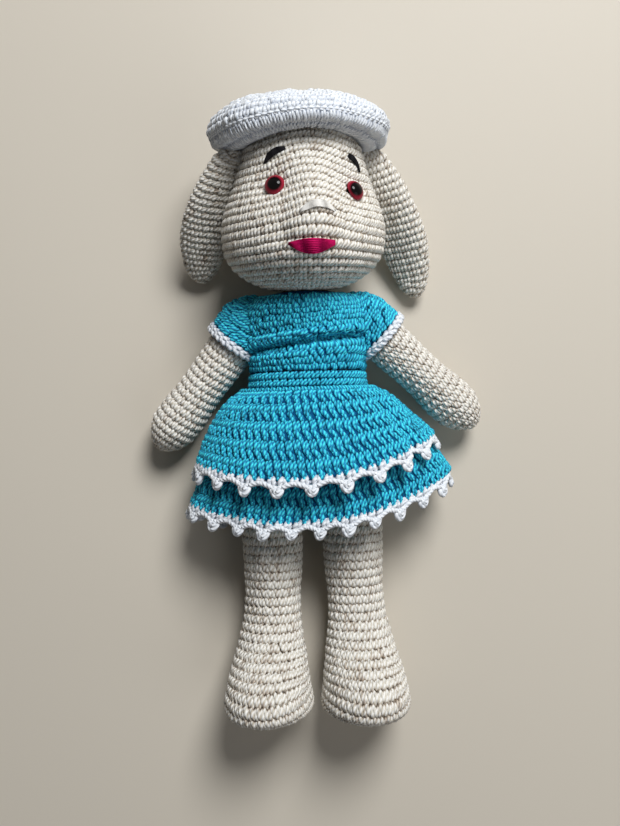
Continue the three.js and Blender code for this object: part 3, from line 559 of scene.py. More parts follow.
def yarn_material(name, color, under, ply_glint_and_shade):
    """Twisted yarn with fine fibres; painted shade on its strands' undersides and tucked ends, painted
    glints and shade along its plies.
    """
    material, made, shader = principled(name, Roughness=0.7, Specular_IOR_Level=0.14)
    shade = put(made, "Attribute")
    shade.attribute_name = "shade"
    # painted shade: the shade attribute runs the colour from the under colour to the yarn's own
    plain = color_ramp(made, shade.outputs["Fac"], [(0.5, under), (0.95, color)])
    fibres = noise(made, FIBRE_SCALE, 3)
    wave = put(made, "TexWave", layer_of(made, "yarn"), Scale=PLIES * 2 * math.pi / 10, Distortion=0.6)
    wave.bands_direction = "DIAGONAL"
    plies = wave.outputs["Fac"]
    # painted glints and shade: the plies lighten the colour on their crowns and darken it between them
    ply_shaded_colour = overlay(made, overlay(made, plain, fibres, FUZZ), plies, ply_glint_and_shade)
    ridged = bump(made, plies, strength=0.8, depth=0.0003)
    fibrous = bump(made, fibres, strength=0.35, depth=0.00012, Normal=ridged)
    feed(shader, Base_Color=ply_shaded_colour, Normal=fibrous)
    return material


def felt_material(name, color, dark):
    """The matted fabric and filling that shows between stitches; there its colours are darker than the
    yarn, as painted shade.
    """
    material, made, shader = principled(name, Roughness=0.95, Specular_IOR_Level=0.15)
    matted = noise(made, FELT_SCALE, 4)
    mottled = color_ramp(made, matted, [(0.3, dark), (0.7, color)])
    feed(shader, Base_Color=mottled, Normal=bump(made, matted, strength=0.5, depth=0.0004))
    return material


yarn_of = {kind: yarn_material(f"{kind}_yarn", *looks[:3]) for kind, looks in YARNS.items()}
# the padding and cloth behind the stitches, coloured darker than their yarn as painted shade in the gaps
shaded_backing_of = {kind: felt_material(f"{kind}_felt", *looks[3:]) for kind, looks in YARNS.items()}
thread_of = {kind: yarn_material(f"{kind}_thread", *looks) for kind, looks in THREADS.items()}


# Fitting pieces to bodies

FULL = 0.9  # given to stuffed() as the fill of a firm form
LIMP = 0.3


def settle(piece, body, slot, *stands_for):
    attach(piece, body)
    if stands_for:
        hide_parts(*stands_for)


def stitched(name, kind, body, yarns, *stands_for):
    settle(tube_mesh(name, yarns, yarn_of[kind]), body, f"{kind}_yarn", *stands_for)


def lined(name, kind, body, *measures, **more):
    # the cloth takes the dark backing colours, painted shade behind the stitches
    settle(cloth(name, shaded_backing_of[kind], *measures, **more), body, f"{kind}_yarn")


def dressed(node, body, yarns, skin, depth, columns):
    """Stitches of the dress, and the cloth under them."""
    stitched(f"{node}_stitches", "turquoise", body, yarns, node)
    lined(f"{node}_cloth", "turquoise", body, skin, 0, skin.length, depth, CLOTH_DEPTH, columns)


def stuffed(name, fill, slot, body, skin, *stands_for):
    # the padding takes the dark backing colours, painted shade in the gaps between stitches
    settle(padding(name, skin, shaded_backing_of["cream"]), body, slot, *stands_for)


def joint_place(joint):
    return np.array(joints[joint]["pos_m"], float)


def box_of(node):
    return [np.array(corner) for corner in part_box(node)]


def farthest(node, origin):
    points = points_of(node)
    return points[np.argmax(np.linalg.norm(points - origin, axis=1))]


# Head

head_origin = joint_place("head_turn")
head_axis = unit(joints["head_turn"]["axis"])
eye_middles = [np.mean(box_of(f"{side}_eye"), 0) for side in SIDES]
face = np.mean(eye_middles, 0) - head_origin
face = unit(face - np.dot(face, head_axis) * head_axis)
face_side = np.cross(head_axis, face)
muzzle = (points_of("nose").mean(0) + points_of("mouth").mean(0)) / 2 - head_origin
HEAD_CAST = ((0.022, 0.024), 128, (2, 2))  # rounded ends, columns and blur
HEAD_START, HEAD_END = 0.004, 0.001  # the stitches begin and stop this far from the two poles
MUZZLE_RISE, MUZZLE_RADIUS = 0.0016, 0.009
SMILE_DEPTH, SMILE_RADIUS, SMILE_WIDTH = 0.0012, 0.0125, 0.0036  # the crease round the muzzle
SMILE_HEIGHTS = (-0.010, -0.002, 0.006, 0.012)
NOSE_RISE, NOSE_WIDTH = 0.0014, 0.0085  # the bridge of the nose
NOSE_HEIGHTS = (0.0, 0.010, 0.020, 0.034)
SOCKET_DEPTH, SOCKET_RADIUS = 0.0012, 0.0075
ROWS_RISE, ROWS_WIDTH = 0.0052, 0.0165  # the rows ride up this far on the bridge of the nose
EYE_ROOM = 0.0019
JAW_TAPER = 0.15


def from_eye(points, middle):
    off = points - middle
    return np.hypot(off @ face_side, off @ head_axis)


def face_relief(points):
    """How far the sculpting threads pull the face in, or let it out, at each point."""
    place = points - head_origin
    across, height = (place - muzzle) @ face_side, (place - muzzle) @ head_axis
    from_muzzle = np.hypot(across, height)
    relief = MUZZLE_RISE * bell(from_muzzle, MUZZLE_RADIUS)
    relief -= SMILE_DEPTH * hill(height, *SMILE_HEIGHTS) * bell(from_muzzle - SMILE_RADIUS, SMILE_WIDTH)
    relief += NOSE_RISE * hill(height, *NOSE_HEIGHTS) * bell(across, NOSE_WIDTH)
    for middle in eye_middles:
        relief -= SOCKET_DEPTH * bell(from_eye(points, middle), SOCKET_RADIUS)
    return relief * smooth_step(place @ face, 0.0, 0.012)


def face_rows(shares, arcs):
    """How far the rows of stitches ride up from the chin to the bridge of the nose."""
    points, _ = head_skin.at(arcs, shares)
    place = points - head_origin - muzzle
    front = smooth_step(place @ face, -0.030, -0.008)
    upper = smooth_step(place @ head_axis, -0.032, 0.012)
    return ROWS_RISE * front * upper * bell(place @ face_side, ROWS_WIDTH)


def clear_of_eyes(points, shares, arcs):
    """Leaves out the stitches that an eye covers."""
    clear = np.ones(len(points), bool)
    for middle in eye_middles:
        clear &= (from_eye(points, middle) > EYE_ROOM) | ((points - middle) @ face < 0)
    return clear


def jaw_form(points):
    """Draws the sides of the jaw in under the mouth."""
    place = points - head_origin
    taper = JAW_TAPER * smooth_step((muzzle - place) @ head_axis, 0.008, 0.028)
    return points - (taper * (place @ face_side))[..., None] * face_side


bare_head = closed_skin("head_cover", head_origin, head_axis, -face, *HEAD_CAST)
sculpted = bare_head.points + face_relief(bare_head.points)[..., None] * bare_head.normals
head_skin = Skin(jaw_form(sculpted))
head_tree = BVHTree.FromPolygons(head_skin.points.reshape(-1, 3).tolist(),
                                 ring_faces(*head_skin.points.shape[:2]).tolist())
yarns = lay([], head_skin, HEAD_START, head_skin.length - HEAD_END, ROW, STITCH, warp=face_rows,
            keep=clear_of_eyes, broad=BEAD)
stitched("head_stitches", "cream", "head", yarns, "head_cover")
stuffed("head_padding", FULL, "fibre_filling", "head", head_skin, "head_stuffing")


# Ears

EAR_CAST = ((0.006, 0.010), 72, (2, 2.5))
EAR_START = 0.002
EAR_ROW = ROW * 0.9
EAR_TUCK = np.array([0.0028, 0.0032, 0.0])  # the root is drawn in and up under the hat by this much
EAR_FILL = 0.08
EAR_TAPER = 0.2  # towards its tip an ear is this much slimmer than its solid
EAR_TWIST = {"left": 40, "right": -4}  # degrees that the ear's outer edge turns up from the table


def ear_form(skin, side):
    """Fills out the middle of an ear, and draws its root up under the hat."""
    share = (skin.arc / skin.length)[:, None, None]
    middle = skin.points.mean(1, keepdims=True)
    fullness = 1 + EAR_FILL * np.sin(np.pi * share) - EAR_TAPER * smooth_step(share, 0.6, 0.95)
    fuller = (skin.points - middle) * fullness
    turn = np.radians(EAR_TWIST[side]) * smooth_step(share, 0, 0.35)
    lengthwise = unit(middle[-1, 0] - middle[0, 0])
    along = (fuller @ lengthwise)[..., None] * lengthwise
    turned = along + (fuller - along) * np.cos(turn) + np.cross(lengthwise, fuller) * np.sin(turn)
    inwards = np.array([-1 if side == "left" else 1, 1, 1])
    return Skin(middle + turned + EAR_TUCK * inwards * np.clip(1 - share / 0.45, 0, 1) ** 2)


for side in SIDES:
    ear = f"{side}_ear"
    root = joint_place(f"{ear}_lift")
    skin = ear_form(closed_skin(ear, root, farthest(ear, root) - root, -face, *EAR_CAST), side)
    yarns = lay([], skin, EAR_START, skin.length - TIP, EAR_ROW, STITCH, broad=BEAD)
    stitched(f"{ear}_stitches", "cream", ear, yarns, ear)
    stuffed(f"{ear}_padding", LIMP, "cream_yarn", ear, skin)


# Arms and sleeves

ARM_CAST = ((0.0098, 0.0112), 80, (2, 3))
SLEEVE_COLUMNS = 80
ARM_START = 0.016  # above this the arm is in its sleeve
ARM_ROW = ROW * 1.05
ARM_STITCH = SLANTED_STITCH * 1.06
ARM_SLIM = 0.12  # past the sleeve an arm is this much narrower, seen from above, than its solid
SLEEVE_START = 0.004
SLEEVE_MARGINS = (0.0004, 0.0002)
EDGE_MARGINS = (0.0002, 0.0002)
EDGE_LOOP = 0.0034
EDGE_SINK = 0.0004
EDGE_ROPES = [(0.28, 0.5), (0.80, -0.5)]  # place on the edging and slant of each of its ropes
DOME_ROWS = 14
CREASE_REACH = 0.010  # neighbours nearer than this draw a soft skin out to them


def slimmed(skin, crosswise, slim, shift=0.0):
    """Draws each row in towards its middle, in one direction only, or moves it that way."""
    off = (skin.points - skin.points.mean(1, keepdims=True)) @ crosswise
    return Skin(skin.points + (shift - slim * off)[..., None] * crosswise)


def arm_form(skin, direction):
    """Slims an arm past its sleeve, but leaves its height as it lies."""
    share = smooth_step(skin.arc / skin.length, 0.3, 0.6)[:, None]
    return slimmed(skin, unit(np.cross(direction, DOWN)), ARM_SLIM * share)


def domed(tube, pivot, direction):
    """Closes the shoulder end of a sleeve with a dome about its pivot."""
    start = tube.points[0] - pivot
    reach = np.linalg.norm(start, axis=1, keepdims=True)
    spokes = unit(start - (start @ direction)[:, None] * direction)
    angle = np.arccos(np.clip(-(start @ direction)[:, None] / reach, -1, 1))
    dome = [pivot + reach * (np.sin(t * angle) * spokes - np.cos(t * angle) * direction)
            for t in np.linspace(0.02, 1, DOME_ROWS)[:-1]]
    return Skin(np.concatenate([dome, tube.points]))


def drawn_to(skin, *neighbours):
    """Fills the crease between a soft skin and its neighbours, more where they lie nearer."""
    lift = np.zeros(skin.points.shape[:2])
    for node in neighbours:
        tree = tree_of(node)
        gaps = np.array([[tree.find_nearest(Vector(point))[3] for point in row] for row in skin.points])
        lift = np.maximum(lift, np.clip(1 - gaps / CREASE_REACH, 0, 1) ** 2 * CREASE_REACH / 4)
    return Skin(skin.points + soften(lift, 1, 1)[..., None] * skin.normals, skin.gaps)


for side in SIDES:
    arm, sleeve, trim = f"{side}_arm", f"{side}_sleeve", f"{side}_sleeve_trim"
    pivot = joint_place(f"{arm}_swing")
    direction = unit(farthest(f"{arm}_cover", pivot) - pivot)
    skin = arm_form(closed_skin(f"{arm}_cover", pivot, direction, DOWN, *ARM_CAST), direction)
    yarns = lay([], skin, ARM_START, skin.length - TIP, ARM_ROW, ARM_STITCH, SLANTED_STRANDS)
    stitched(f"{arm}_stitches", "cream", arm, yarns, f"{arm}_cover")
    stuffed(f"{arm}_padding", FULL, "fibre_filling", arm, skin, f"{arm}_stuffing")
    tube = open_skin(sleeve, pivot, direction, SLEEVE_MARGINS, SLEEVE_COLUMNS)
    skin = drawn_to(domed(tube, pivot, direction), "bodice")
    yarns = lay([], skin, SLEEVE_START, skin.length, YOKE_ROW, TALL_STITCH, YOKE_STRANDS, yarn=YOKE_YARN,
                wobble=YOKE_WOBBLE)
    dressed(sleeve, arm, yarns, skin, SINK / 2, SLEEVE_COLUMNS)
    edge = open_skin(trim, pivot, direction, EDGE_MARGINS, SLEEVE_COLUMNS)
    yarns = []
    for share, slant in EDGE_ROPES:
        rope(yarns, edge, share * edge.length, EDGE_LOOP, YARN * 1.05, slant, -EDGE_SINK)
    stitched(f"{sleeve}_edging", "white", arm, yarns, trim)
    lined(f"{sleeve}_edging_cloth", "white", arm, edge, 0, edge.length, SINK, CLOTH_DEPTH, SLEEVE_COLUMNS)


# Legs

LEG_CAST = ((0.013, 0.018), 96, (1, 2))
LEG_START = 0.006
LEG_ROW = ROW * 1.13
LEG_BEAD = 1.1
FOOT_SLIM = 0.07
FOOT_OUT = 0.0016  # the feet stand apart by twice this much more than their solids
SOLE_CORNER = 0.07  # near its sole a foot is this much broader than the rounded end of its solid
SOLE_PLACE, SOLE_WIDTH = 0.019, 0.007


def foot_form(skin, side):
    """Slims a foot a little, and sets it apart from the other one."""
    share = smooth_step(skin.arc / skin.length, 0.35, 0.7)[:, None]
    corner = SOLE_CORNER * bell(skin.length - skin.arc - SOLE_PLACE, SOLE_WIDTH)[:, None]
    outwards = np.array([1 if side == "left" else -1, 0, 0])
    return slimmed(skin, outwards, FOOT_SLIM * share - corner, FOOT_OUT * share)


for side in SIDES:
    leg = f"{side}_leg"
    pivot = joint_place(f"{leg}_lift")
    skin = foot_form(closed_skin(f"{leg}_cover", pivot, -UP_BODY, DOWN, *LEG_CAST), side)
    yarns = lay([], skin, LEG_START, skin.length - TIP, LEG_ROW, SLANTED_STITCH, SLANTED_STRANDS,
                broad=LEG_BEAD)
    stitched(f"{leg}_stitches", "cream", leg, yarns, f"{leg}_cover")
    stuffed(f"{leg}_padding", FULL, "fibre_filling", leg, skin, f"{leg}_stuffing")


# Torso and bodice

TORSO_CAST = ((0.014, 0.012), 80, (2, 3))
SEAT_START, SEAT_END = 0.0004, 0.034  # this much of the torso shows under the skirts, from its end
BODICE_MARGINS = (0.0003, 0.0003)
BODICE_COLUMNS = 112
BAND_ROW = 0.0027
BAND_YARN = YARN * 0.85
FOLDS = [(0.36, 0.0038, 0.0017), (0.53, 0.0020, 0.0014)]  # share of the bodice's height, depth and width
ROLLS = [(0.0040, 0.0026, 0.0030), (-0.0058, 0.0014, 0.0040)]  # height over the first, rise and width
FOLD_TILT = 0.12  # how much the folds rise towards the doll's left
FRONT_DEPTH = 0.012  # over this height the front comes out of the sides
YOKE_SAG = 0.0022

waist_low, waist_high = box_of("waistband")
bodice_low, bodice_high = box_of("bodice")
axis_point = np.array([0, 0, (waist_low[2] + waist_high[2]) / 2])


def on_front(points):
    return smooth_step(points[..., 2], axis_point[2], axis_point[2] + FRONT_DEPTH)


def over_fold(points, share):
    """How far points lie over a crease across the chest."""
    height = bodice_low[1] + share * (bodice_high[1] - bodice_low[1])
    return points[..., 1] - height - FOLD_TILT * points[..., 0]


def bodice_folds(points):
    """The soft rolls of the bodice, with a deep crease over the waist and a faint one under the yoke."""
    lowest = over_fold(points, FOLDS[0][0])
    rolls = sum(rise * bell(lowest - height, width) for height, rise, width in ROLLS)
    creases = sum(depth * bell(over_fold(points, share), width) for share, depth, width in FOLDS)
    over_waist = smooth_step(points[..., 1], bodice_low[1], bodice_low[1] + 0.006)
    return on_front(points) * over_waist * (rolls - creases)


def bodice_rows(shares, arcs):
    """How far the rows tilt with the creases, and sag round the neckline."""
    points, _ = bodice.at(arcs, shares)
    yoke = smooth_step(arcs / bodice.length, 0.5, 0.9)
    sag = np.clip(1 - (points[..., 0] / bodice_high[0]) ** 2, 0, 1)
    over_waist = smooth_step(arcs, 0, 0.012)
    tilt = FOLD_TILT * over_waist * (1 - yoke) * points[..., 0]
    return on_front(points) * (tilt - YOKE_SAG * yoke * sag)


def on_bodice(points, shares, arcs):
    return bodice.look_up(bodice.gaps, arcs, shares) < 0.5


skin = closed_skin("body_cover", axis_point, UP_BODY, DOWN, *TORSO_CAST)
stuffed("body_padding", FULL, "cream_yarn", "torso", skin, "body_cover", "body_stuffing")
stitched("seat_stitches", "cream", "torso", lay([], skin, SEAT_START, SEAT_END, ROW, STITCH, broad=BEAD))

flat_bodice = open_skin("bodice", axis_point, UP_BODY, BODICE_MARGINS, BODICE_COLUMNS)
folded = flat_bodice.points + bodice_folds(flat_bodice.points)[..., None] * flat_bodice.normals
bodice = drawn_to(Skin(folded, flat_bodice.gaps), "left_sleeve", "right_sleeve")
yarns = lay([], bodice, bodice.length, 0, YOKE_ROW, TALL_STITCH, YOKE_STRANDS, yarn=YOKE_YARN,
            warp=bodice_rows, keep=on_bodice, wobble=YOKE_WOBBLE)
dressed("bodice", "torso", yarns, bodice, SINK / 2, BODICE_COLUMNS)

band = open_skin("waistband", axis_point, UP_BODY, EDGE_MARGINS, BODICE_COLUMNS)
yarns = lay([], band, 0, band.length, BAND_ROW, STITCH, yarn=BAND_YARN, broad=BEAD)
dressed("waistband", "torso", yarns, band, SINK, BODICE_COLUMNS)


# Skirts

# Places round a skirt are shares of the way from the back past the doll's right side, front and left side
CREASE_PLACE = 0.672
CREASE_WIDTH = 0.0022
DENT_PLACE = 0.768
DENT_WIDTH = 0.009
LEG_LIFT = 0.36  # over each leg a sagging hem hangs higher by this share of its sag
LEG_WIDTH = 0.010
WAIST_DRAW = 0.0012  # a skirt's first row is drawn in to the waistband by this much
WAIST_ROPE = 0.0006  # the rope at the waist lies this far down
WAIST_LOOP = 0.0026
SKIRT_COLUMNS = 160
SKIRT_ROWS = 60
SKIRT_DEPTH = 0.0022
SKIRT_MARGIN = 0.0003
HEM_MARGIN = 0.0002
HEM_ROWS = 8  # rows before the hem that give its slope
PAST_HEM = 0.010
PAST_ROWS = 14
EDGING_DEPTH = 0.002


def skirt_skin(node, sag, crease, dent):
    """The outside of a skirt from waist to hem, and a little past it for the edging.

    The front sags on the legs, a crease runs down beside it, and the left hand presses a dent.
    """
    low, high = box_of(node)
    tree = tree_of(node)
    spokes = wheel(UP_BODY, DOWN, SKIRT_COLUMNS)
    top = high[1] - SKIRT_MARGIN

    def reach(height, spoke):
        return distance(tree, axis_point + height * UP_BODY, spoke)

    hem = [edge_between(top, low[1] - 0.001, lambda height: reach(height, spoke)) for spoke in spokes]
    hem = soften(np.array(hem)[None] + HEM_MARGIN, 0, 2)[0]
    shares = np.linspace(0, 1, SKIRT_ROWS)[:, None]
    heights = top + (hem - top) * shares
    found = np.array([[reach(height, spoke) for height, spoke in zip(row, spokes)] for row in heights])
    found = soften(fill_gaps(found), 1.5, 2.5)
    from_crease, from_dent = ((np.arange(SKIRT_COLUMNS) / SKIRT_COLUMNS - place) * 2 * np.pi * found
                              for place in (CREASE_PLACE, DENT_PLACE))
    creased = crease * smooth_step(shares, 0.05, 0.3) * bell(from_crease, CREASE_WIDTH)
    dented = dent * smooth_step(shares, 0.15, 0.6) * bell(from_dent, DENT_WIDTH)
    drawn_in = WAIST_DRAW * (1 - smooth_step(shares, 0, 0.2))
    points = spokes * (found - creased - dented - drawn_in)[..., None] + axis_point
    points[..., 1] = heights
    front = smooth_step(points[..., 2], axis_point[2], points[..., 2].max())
    over_legs = sum(bell(points[..., 0] - joint_place(f"{side}_leg_lift")[0], LEG_WIDTH) for side in SIDES)
    points[..., 2] -= sag * front * (1 - LEG_LIFT * over_legs) * smooth_step(shares, 0.35, 1)
    slope = unit(points[-1] - points[-1 - HEM_ROWS])
    beyond = [points[-1] + slope * past for past in np.linspace(0, PAST_HEM, PAST_ROWS)[1:]]
    skin = Skin(np.concatenate([points, beyond]))
    skin.hem = skin.arc[len(points) - 1]
    return skin


# A picot is loops within each other, given by half their width and their drop in metres, thickness and rise
PICOT_LOOPS = [
    (0.0019, 0.0031, 1.12, 0.0),
    (0.0008, 0.0019, 1.15, 0.6),
]
PICOT_SINK = 0.4
PICOT_UNEVEN = (0.08, 0.08, 0.05)
PICOT_TINT = 0.03
LOOP_POINTS = 9
TEETH_PER_PICOT = 3
TOOTH_UP, TOOTH_DOWN = 0.0014, 0.0022  # the teeth reach this far over the hem and under it
CORDS_PER_PICOT = 3
CORD_YARN = YARN * 1.1
CORD_TINT = 0.02
CORD_OVERLAP = 0.04
CORD_DROP = 0.0032  # the cord of the edging lies this far under the hem at each picot
SCALLOP = 0.0018  # and rises this much between two of them


def picots(yarns, skin, arc, count):
    """Knobs of looped yarn along an edge."""
    angle = np.linspace(0, np.pi, LOOP_POINTS)
    start = (np.arange(count) + 0.5) / count
    for half, drop, thick, rise in PICOT_LOOPS:
        jitter = 1 + scatter.normal(0, 1, (3, count, 1)) * np.reshape(PICOT_UNEVEN, (3, 1, 1))
        across = half * np.cos(angle) * jitter[0]
        down = drop * np.sin(angle) * jitter[1]
        shares = start[:, None] + across / skin.girth_at(arc)
        lines, normals = skin.at(arc + down, shares, YARN * (rise - PICOT_SINK))
        radii = YARN * thick * jitter[2] + 0 * down
        tints = 1 + PICOT_TINT * scatter.normal(0, 1, count)
        yarns.append((lines, normals, radii, tints, np.ones(radii.shape), 1.0))


def cord(yarns, skin, route, pieces):
    """A plain round cord along a route on a skin."""
    share = np.linspace(-CORD_OVERLAP, 1 + CORD_OVERLAP, POINTS)
    shares = (np.arange(pieces)[:, None] + share) / pieces
    lines, normals = skin.at(route(shares), shares)
    tints = 1 + CORD_TINT * scatter.normal(0, 1, pieces)
    yarns.append((lines, normals, np.full(shares.shape, CORD_YARN), tints, np.ones(shares.shape), 1.0))


def edging(yarns, skin, count):
    """White edging: upright teeth over the hem, and a cord that scallops from one picot to the next."""
    def scallops(shares):
        return skin.hem + CORD_DROP - SCALLOP * (0.5 + 0.5 * np.cos(2 * np.pi * count * shares))

    tooth = skin.girth_at(skin.hem) / (TEETH_PER_PICOT * count)
    top, end = skin.hem - TOOTH_UP, skin.hem + TOOTH_DOWN
    lay(yarns, skin, top, end, end - top, tooth, TOOTH_STRANDS)
    cord(yarns, skin, scallops, CORDS_PER_PICOT * count)
    picots(yarns, skin, skin.hem + CORD_DROP, count)


def dress_skirt(name, count, sag=0.0, crease=0.0, dent=0.0):
    """A skirt worked outside and inside, with so many picots on its edging."""
    skin = skirt_skin(name, sag, crease, dent)
    yarns = lay([], skin, 0, skin.hem, TALL_ROW, TALL_STITCH, TALL_STRANDS)
    lay(yarns, skin, ROW / 2, skin.hem, ROW, STITCH, broad=BEAD, inside=SKIRT_DEPTH)
    rope(yarns, skin, WAIST_ROPE, WAIST_LOOP, YARN * 0.9, 0.6)
    stitched(f"{name}_stitches", "turquoise", "torso", yarns, name)
    # the skirt's cloth is coloured darker than its yarn, painted shade in the gaps between stitches
    shaded_backing = shaded_backing_of["turquoise"]
    sheet = cloth(f"{name}_cloth", shaded_backing, skin, 0, skin.hem, SINK * 0.3, SKIRT_DEPTH, rib=RIB)
    width = skin.girth_at(skin.hem)
    settle(sheet, "torso", "turquoise_yarn")
    yarns = []
    edging(yarns, skin, count)
    stitched(f"{name}_edging", "white", "torso", yarns, f"{name}_trim")
    cord_top = skin.hem + CORD_DROP - SCALLOP
    lined(f"{name}_edging_cloth", "white", "torso", skin, skin.hem, cord_top, SINK, EDGING_DEPTH)


dress_skirt("overskirt", 20, crease=0.0032, dent=0.0018)
dress_skirt("underskirt", 24, sag=0.0065)


# Beret

BERET_COLUMNS = 140
BERET_ROWS = 70
BERET_MIDDLE = 0.67  # height of the point from which the beret is measured, as a share of its own
BERET_EDGE = 0.004  # the skin begins this far from the edge of the opening, in radians
BERET_DEPTH = 0.0024
BERET_LUMP = 0.0011
BERET_LUMPS = [(5, 0.8, 1.0), (3, 2.2, 0.6)]  # lumps round the hat, where they start, and how full they are
BERET_LOBE = 0.0032  # the soft top bulges by this much over the doll's right ear
LOBE_PLACE, LOBE_WIDTH = 1.6, 0.5  # place round the hat, in radians
LOBE_TILTS = [(1.35, 1.0), (0.85, -0.7)]  # angles from the crown where it bulges and where it sinks
LOBE_HEIGHT = 0.25
RIDGE_DROP = 0.0006  # the ridge of loops lies this far under the widest place
RIDGE_LOOP = 0.0026
RIDGE_UP = 0.0004  # its rope lies this far over the ridge, and the rows of the top begin twice as far
RIDGE_SINK = 0.0008
CROWN_GAP = 0.0008  # the rows end this far from the middle of the crown
INSIDE_START, INSIDE_END = 0.002, 0.004
RIM_START = 0.0004
RIM_ROWS = 2
RIM_YARN = YARN * 0.85


def beret_skin():
    """The outside of the beret, from the edge of its opening over the rim to the crown."""
    tree = tree_of("beret")
    height = (points_of("beret") - head_origin) @ head_axis
    centre = head_origin + (BERET_MIDDLE * height.max() + (1 - BERET_MIDDLE) * height.min()) * head_axis
    spokes = wheel(head_axis, -face, BERET_COLUMNS)

    def reach(spoke, tilt):
        return distance(tree, centre, math.cos(tilt) * head_axis + math.sin(tilt) * spoke)

    rim, opening = math.radians(95), math.radians(160)
    edges = [edge_between(rim, opening, lambda tilt: reach(spoke, tilt)) for spoke in spokes]
    edges = soften(np.array(edges)[None] - BERET_EDGE, 0, 2)[0]
    tilts = edges * np.linspace(1, 0.003, BERET_ROWS)[:, None]
    found = np.array([[reach(spoke, tilt) for spoke, tilt in zip(spokes, row)] for row in tilts])
    found = soften(fill_gaps(found), 1.2, 2.0)
    round_it = 2 * np.pi * np.arange(BERET_COLUMNS) / BERET_COLUMNS
    upper = smooth_step(math.radians(100) - tilts, 0, 0.4) * smooth_step(tilts, 0.1, 0.5)
    lumps = sum(full * np.sin(count * round_it + start) for count, start, full in BERET_LUMPS)
    lobe = sum(full * bell(tilts - tilt, LOBE_HEIGHT) for tilt, full in LOBE_TILTS)
    found = found + BERET_LUMP * upper * lumps + BERET_LOBE * lobe * bell(round_it - LOBE_PLACE, LOBE_WIDTH)
    directions = np.cos(tilts)[..., None] * head_axis + np.sin(tilts)[..., None] * spokes
    skin = Skin(centre + directions * found[..., None])
    off_axis = np.linalg.norm(np.cross(skin.points - centre, head_axis), axis=2).mean(1)
    skin.rim = skin.arc[np.argmax(off_axis)]
    return skin


beret = beret_skin()
ridge = beret.rim - RIDGE_DROP
yarns = lay([], beret, RIM_START, ridge, ridge / RIM_ROWS, RIDGE_LOOP, LONG_STRANDS, yarn=RIM_YARN,
            wobble=1.6)
rope(yarns, beret, ridge + RIDGE_UP, RIDGE_LOOP, YARN, slant=0.9, rise=-RIDGE_SINK)
lay(yarns, beret, ridge + 2 * RIDGE_UP, beret.length - CROWN_GAP, ROW * 0.9, STITCH * 0.95, wobble=2.0,
    broad=BEAD)
lay(yarns, beret, INSIDE_START, beret.length - INSIDE_END, ROW, STITCH, broad=BEAD, inside=BERET_DEPTH)
stitched("beret_stitches", "white", "hat", yarns, "beret")
crown = beret.length - CROWN_GAP / 2
lined("beret_cloth", "white", "hat", beret, 0, crown, SINK * 0.2, BERET_DEPTH, rib=RIB)


# Face

THREAD_REACH = 0.02
THREAD_TINT = 0.05
THREAD_HALF = 0.62  # half a thread's width as a share of its room, so that threads side by side overlap
THREAD_LEAST = 0.45  # and the least that it may be, as a share of the bar's thickness
BAR_PLACES = 11
# Piece, thread, slot, number of threads, thickness, breadth at each end, lift of the middle, length and bow
BARS = [
    ("left_eyebrow", "black", "black_thread", 5, 0.0006, (1.1, 1.9), 0.0003, 1.0, 0.0007),
    ("right_eyebrow", "black", "black_thread", 5, 0.0006, (1.7, 0.8), 0.0003, 1.0, 0.0007),
    ("nose", "satin", "cream_yarn", 7, 0.0006, (0.8, 0.8), 0.0010, 1.0, 0.0),
    ("mouth", "magenta", "magenta_thread", 9, 0.0005, (1.0, 1.0), 0.0002, 0.93, 0.0),
]


def on_head(point, out):
    return head_tree.ray_cast(Vector(point + THREAD_REACH * out), Vector(-out), 2 * THREAD_REACH)[0]


def thread_bar(node, kind, slot, threads, thickness, broad, lift, long, bow):
    """Long threads side by side over an embroidered bar, as broad and long as these shares of its solid."""
    points = points_of(node)
    middle = points.mean(0)
    long_way = np.linalg.svd(points - middle)[2][0]
    if long_way[0] < 0:
        long_way = -long_way
    out = middle - head_origin
    out = unit(out - np.dot(out, head_axis) * head_axis)
    cross_way = unit(np.cross(out, long_way))
    along, across = (points - middle) @ long_way, (points - middle) @ cross_way
    centres = np.linspace(along.min(), along.max(), BAR_PLACES)
    near = [across[np.abs(along - centre) < 0.75 * (centres[1] - centres[0])] for centre in centres]
    low, high = (np.convolve(np.pad(row, 1, mode="edge"), [0.25, 0.5, 0.25], "valid")
                 for row in ([part.min() for part in near], [part.max() for part in near]))
    half_width = (high - low) / 2 * np.linspace(*broad, BAR_PLACES)
    arch = 1 - np.linspace(-1, 1, BAR_PLACES) ** 2
    spine = np.polyval(np.polyfit(centres, (low + high) / 2, 2), centres) + bow * arch
    side = (2 * np.arange(threads)[:, None] + 1) / threads - 1
    flat = middle + long * centres[:, None] * long_way + (spine + side * half_width)[..., None] * cross_way
    lines = np.array([[on_head(point, out) for point in thread] for thread in flat])
    rise = YARN + lift * arch + thickness * (0.5 * (1 - side ** 2) - 0.2)
    lines += rise[..., None] * out
    radius = np.maximum(2 * half_width / threads * THREAD_HALF, thickness * THREAD_LEAST)
    radii = np.tile(radius, (threads, 1))
    tints = 1 + THREAD_TINT * scatter.normal(0, 1, threads)
    yarns = [(lines, np.broadcast_to(out, lines.shape), radii, tints, np.ones(radii.shape), 1.0)]
    settle(tube_mesh(f"{node}_threads", yarns, thread_of[kind]), "head", slot, node)


for bar in BARS:
    thread_bar(*bar)

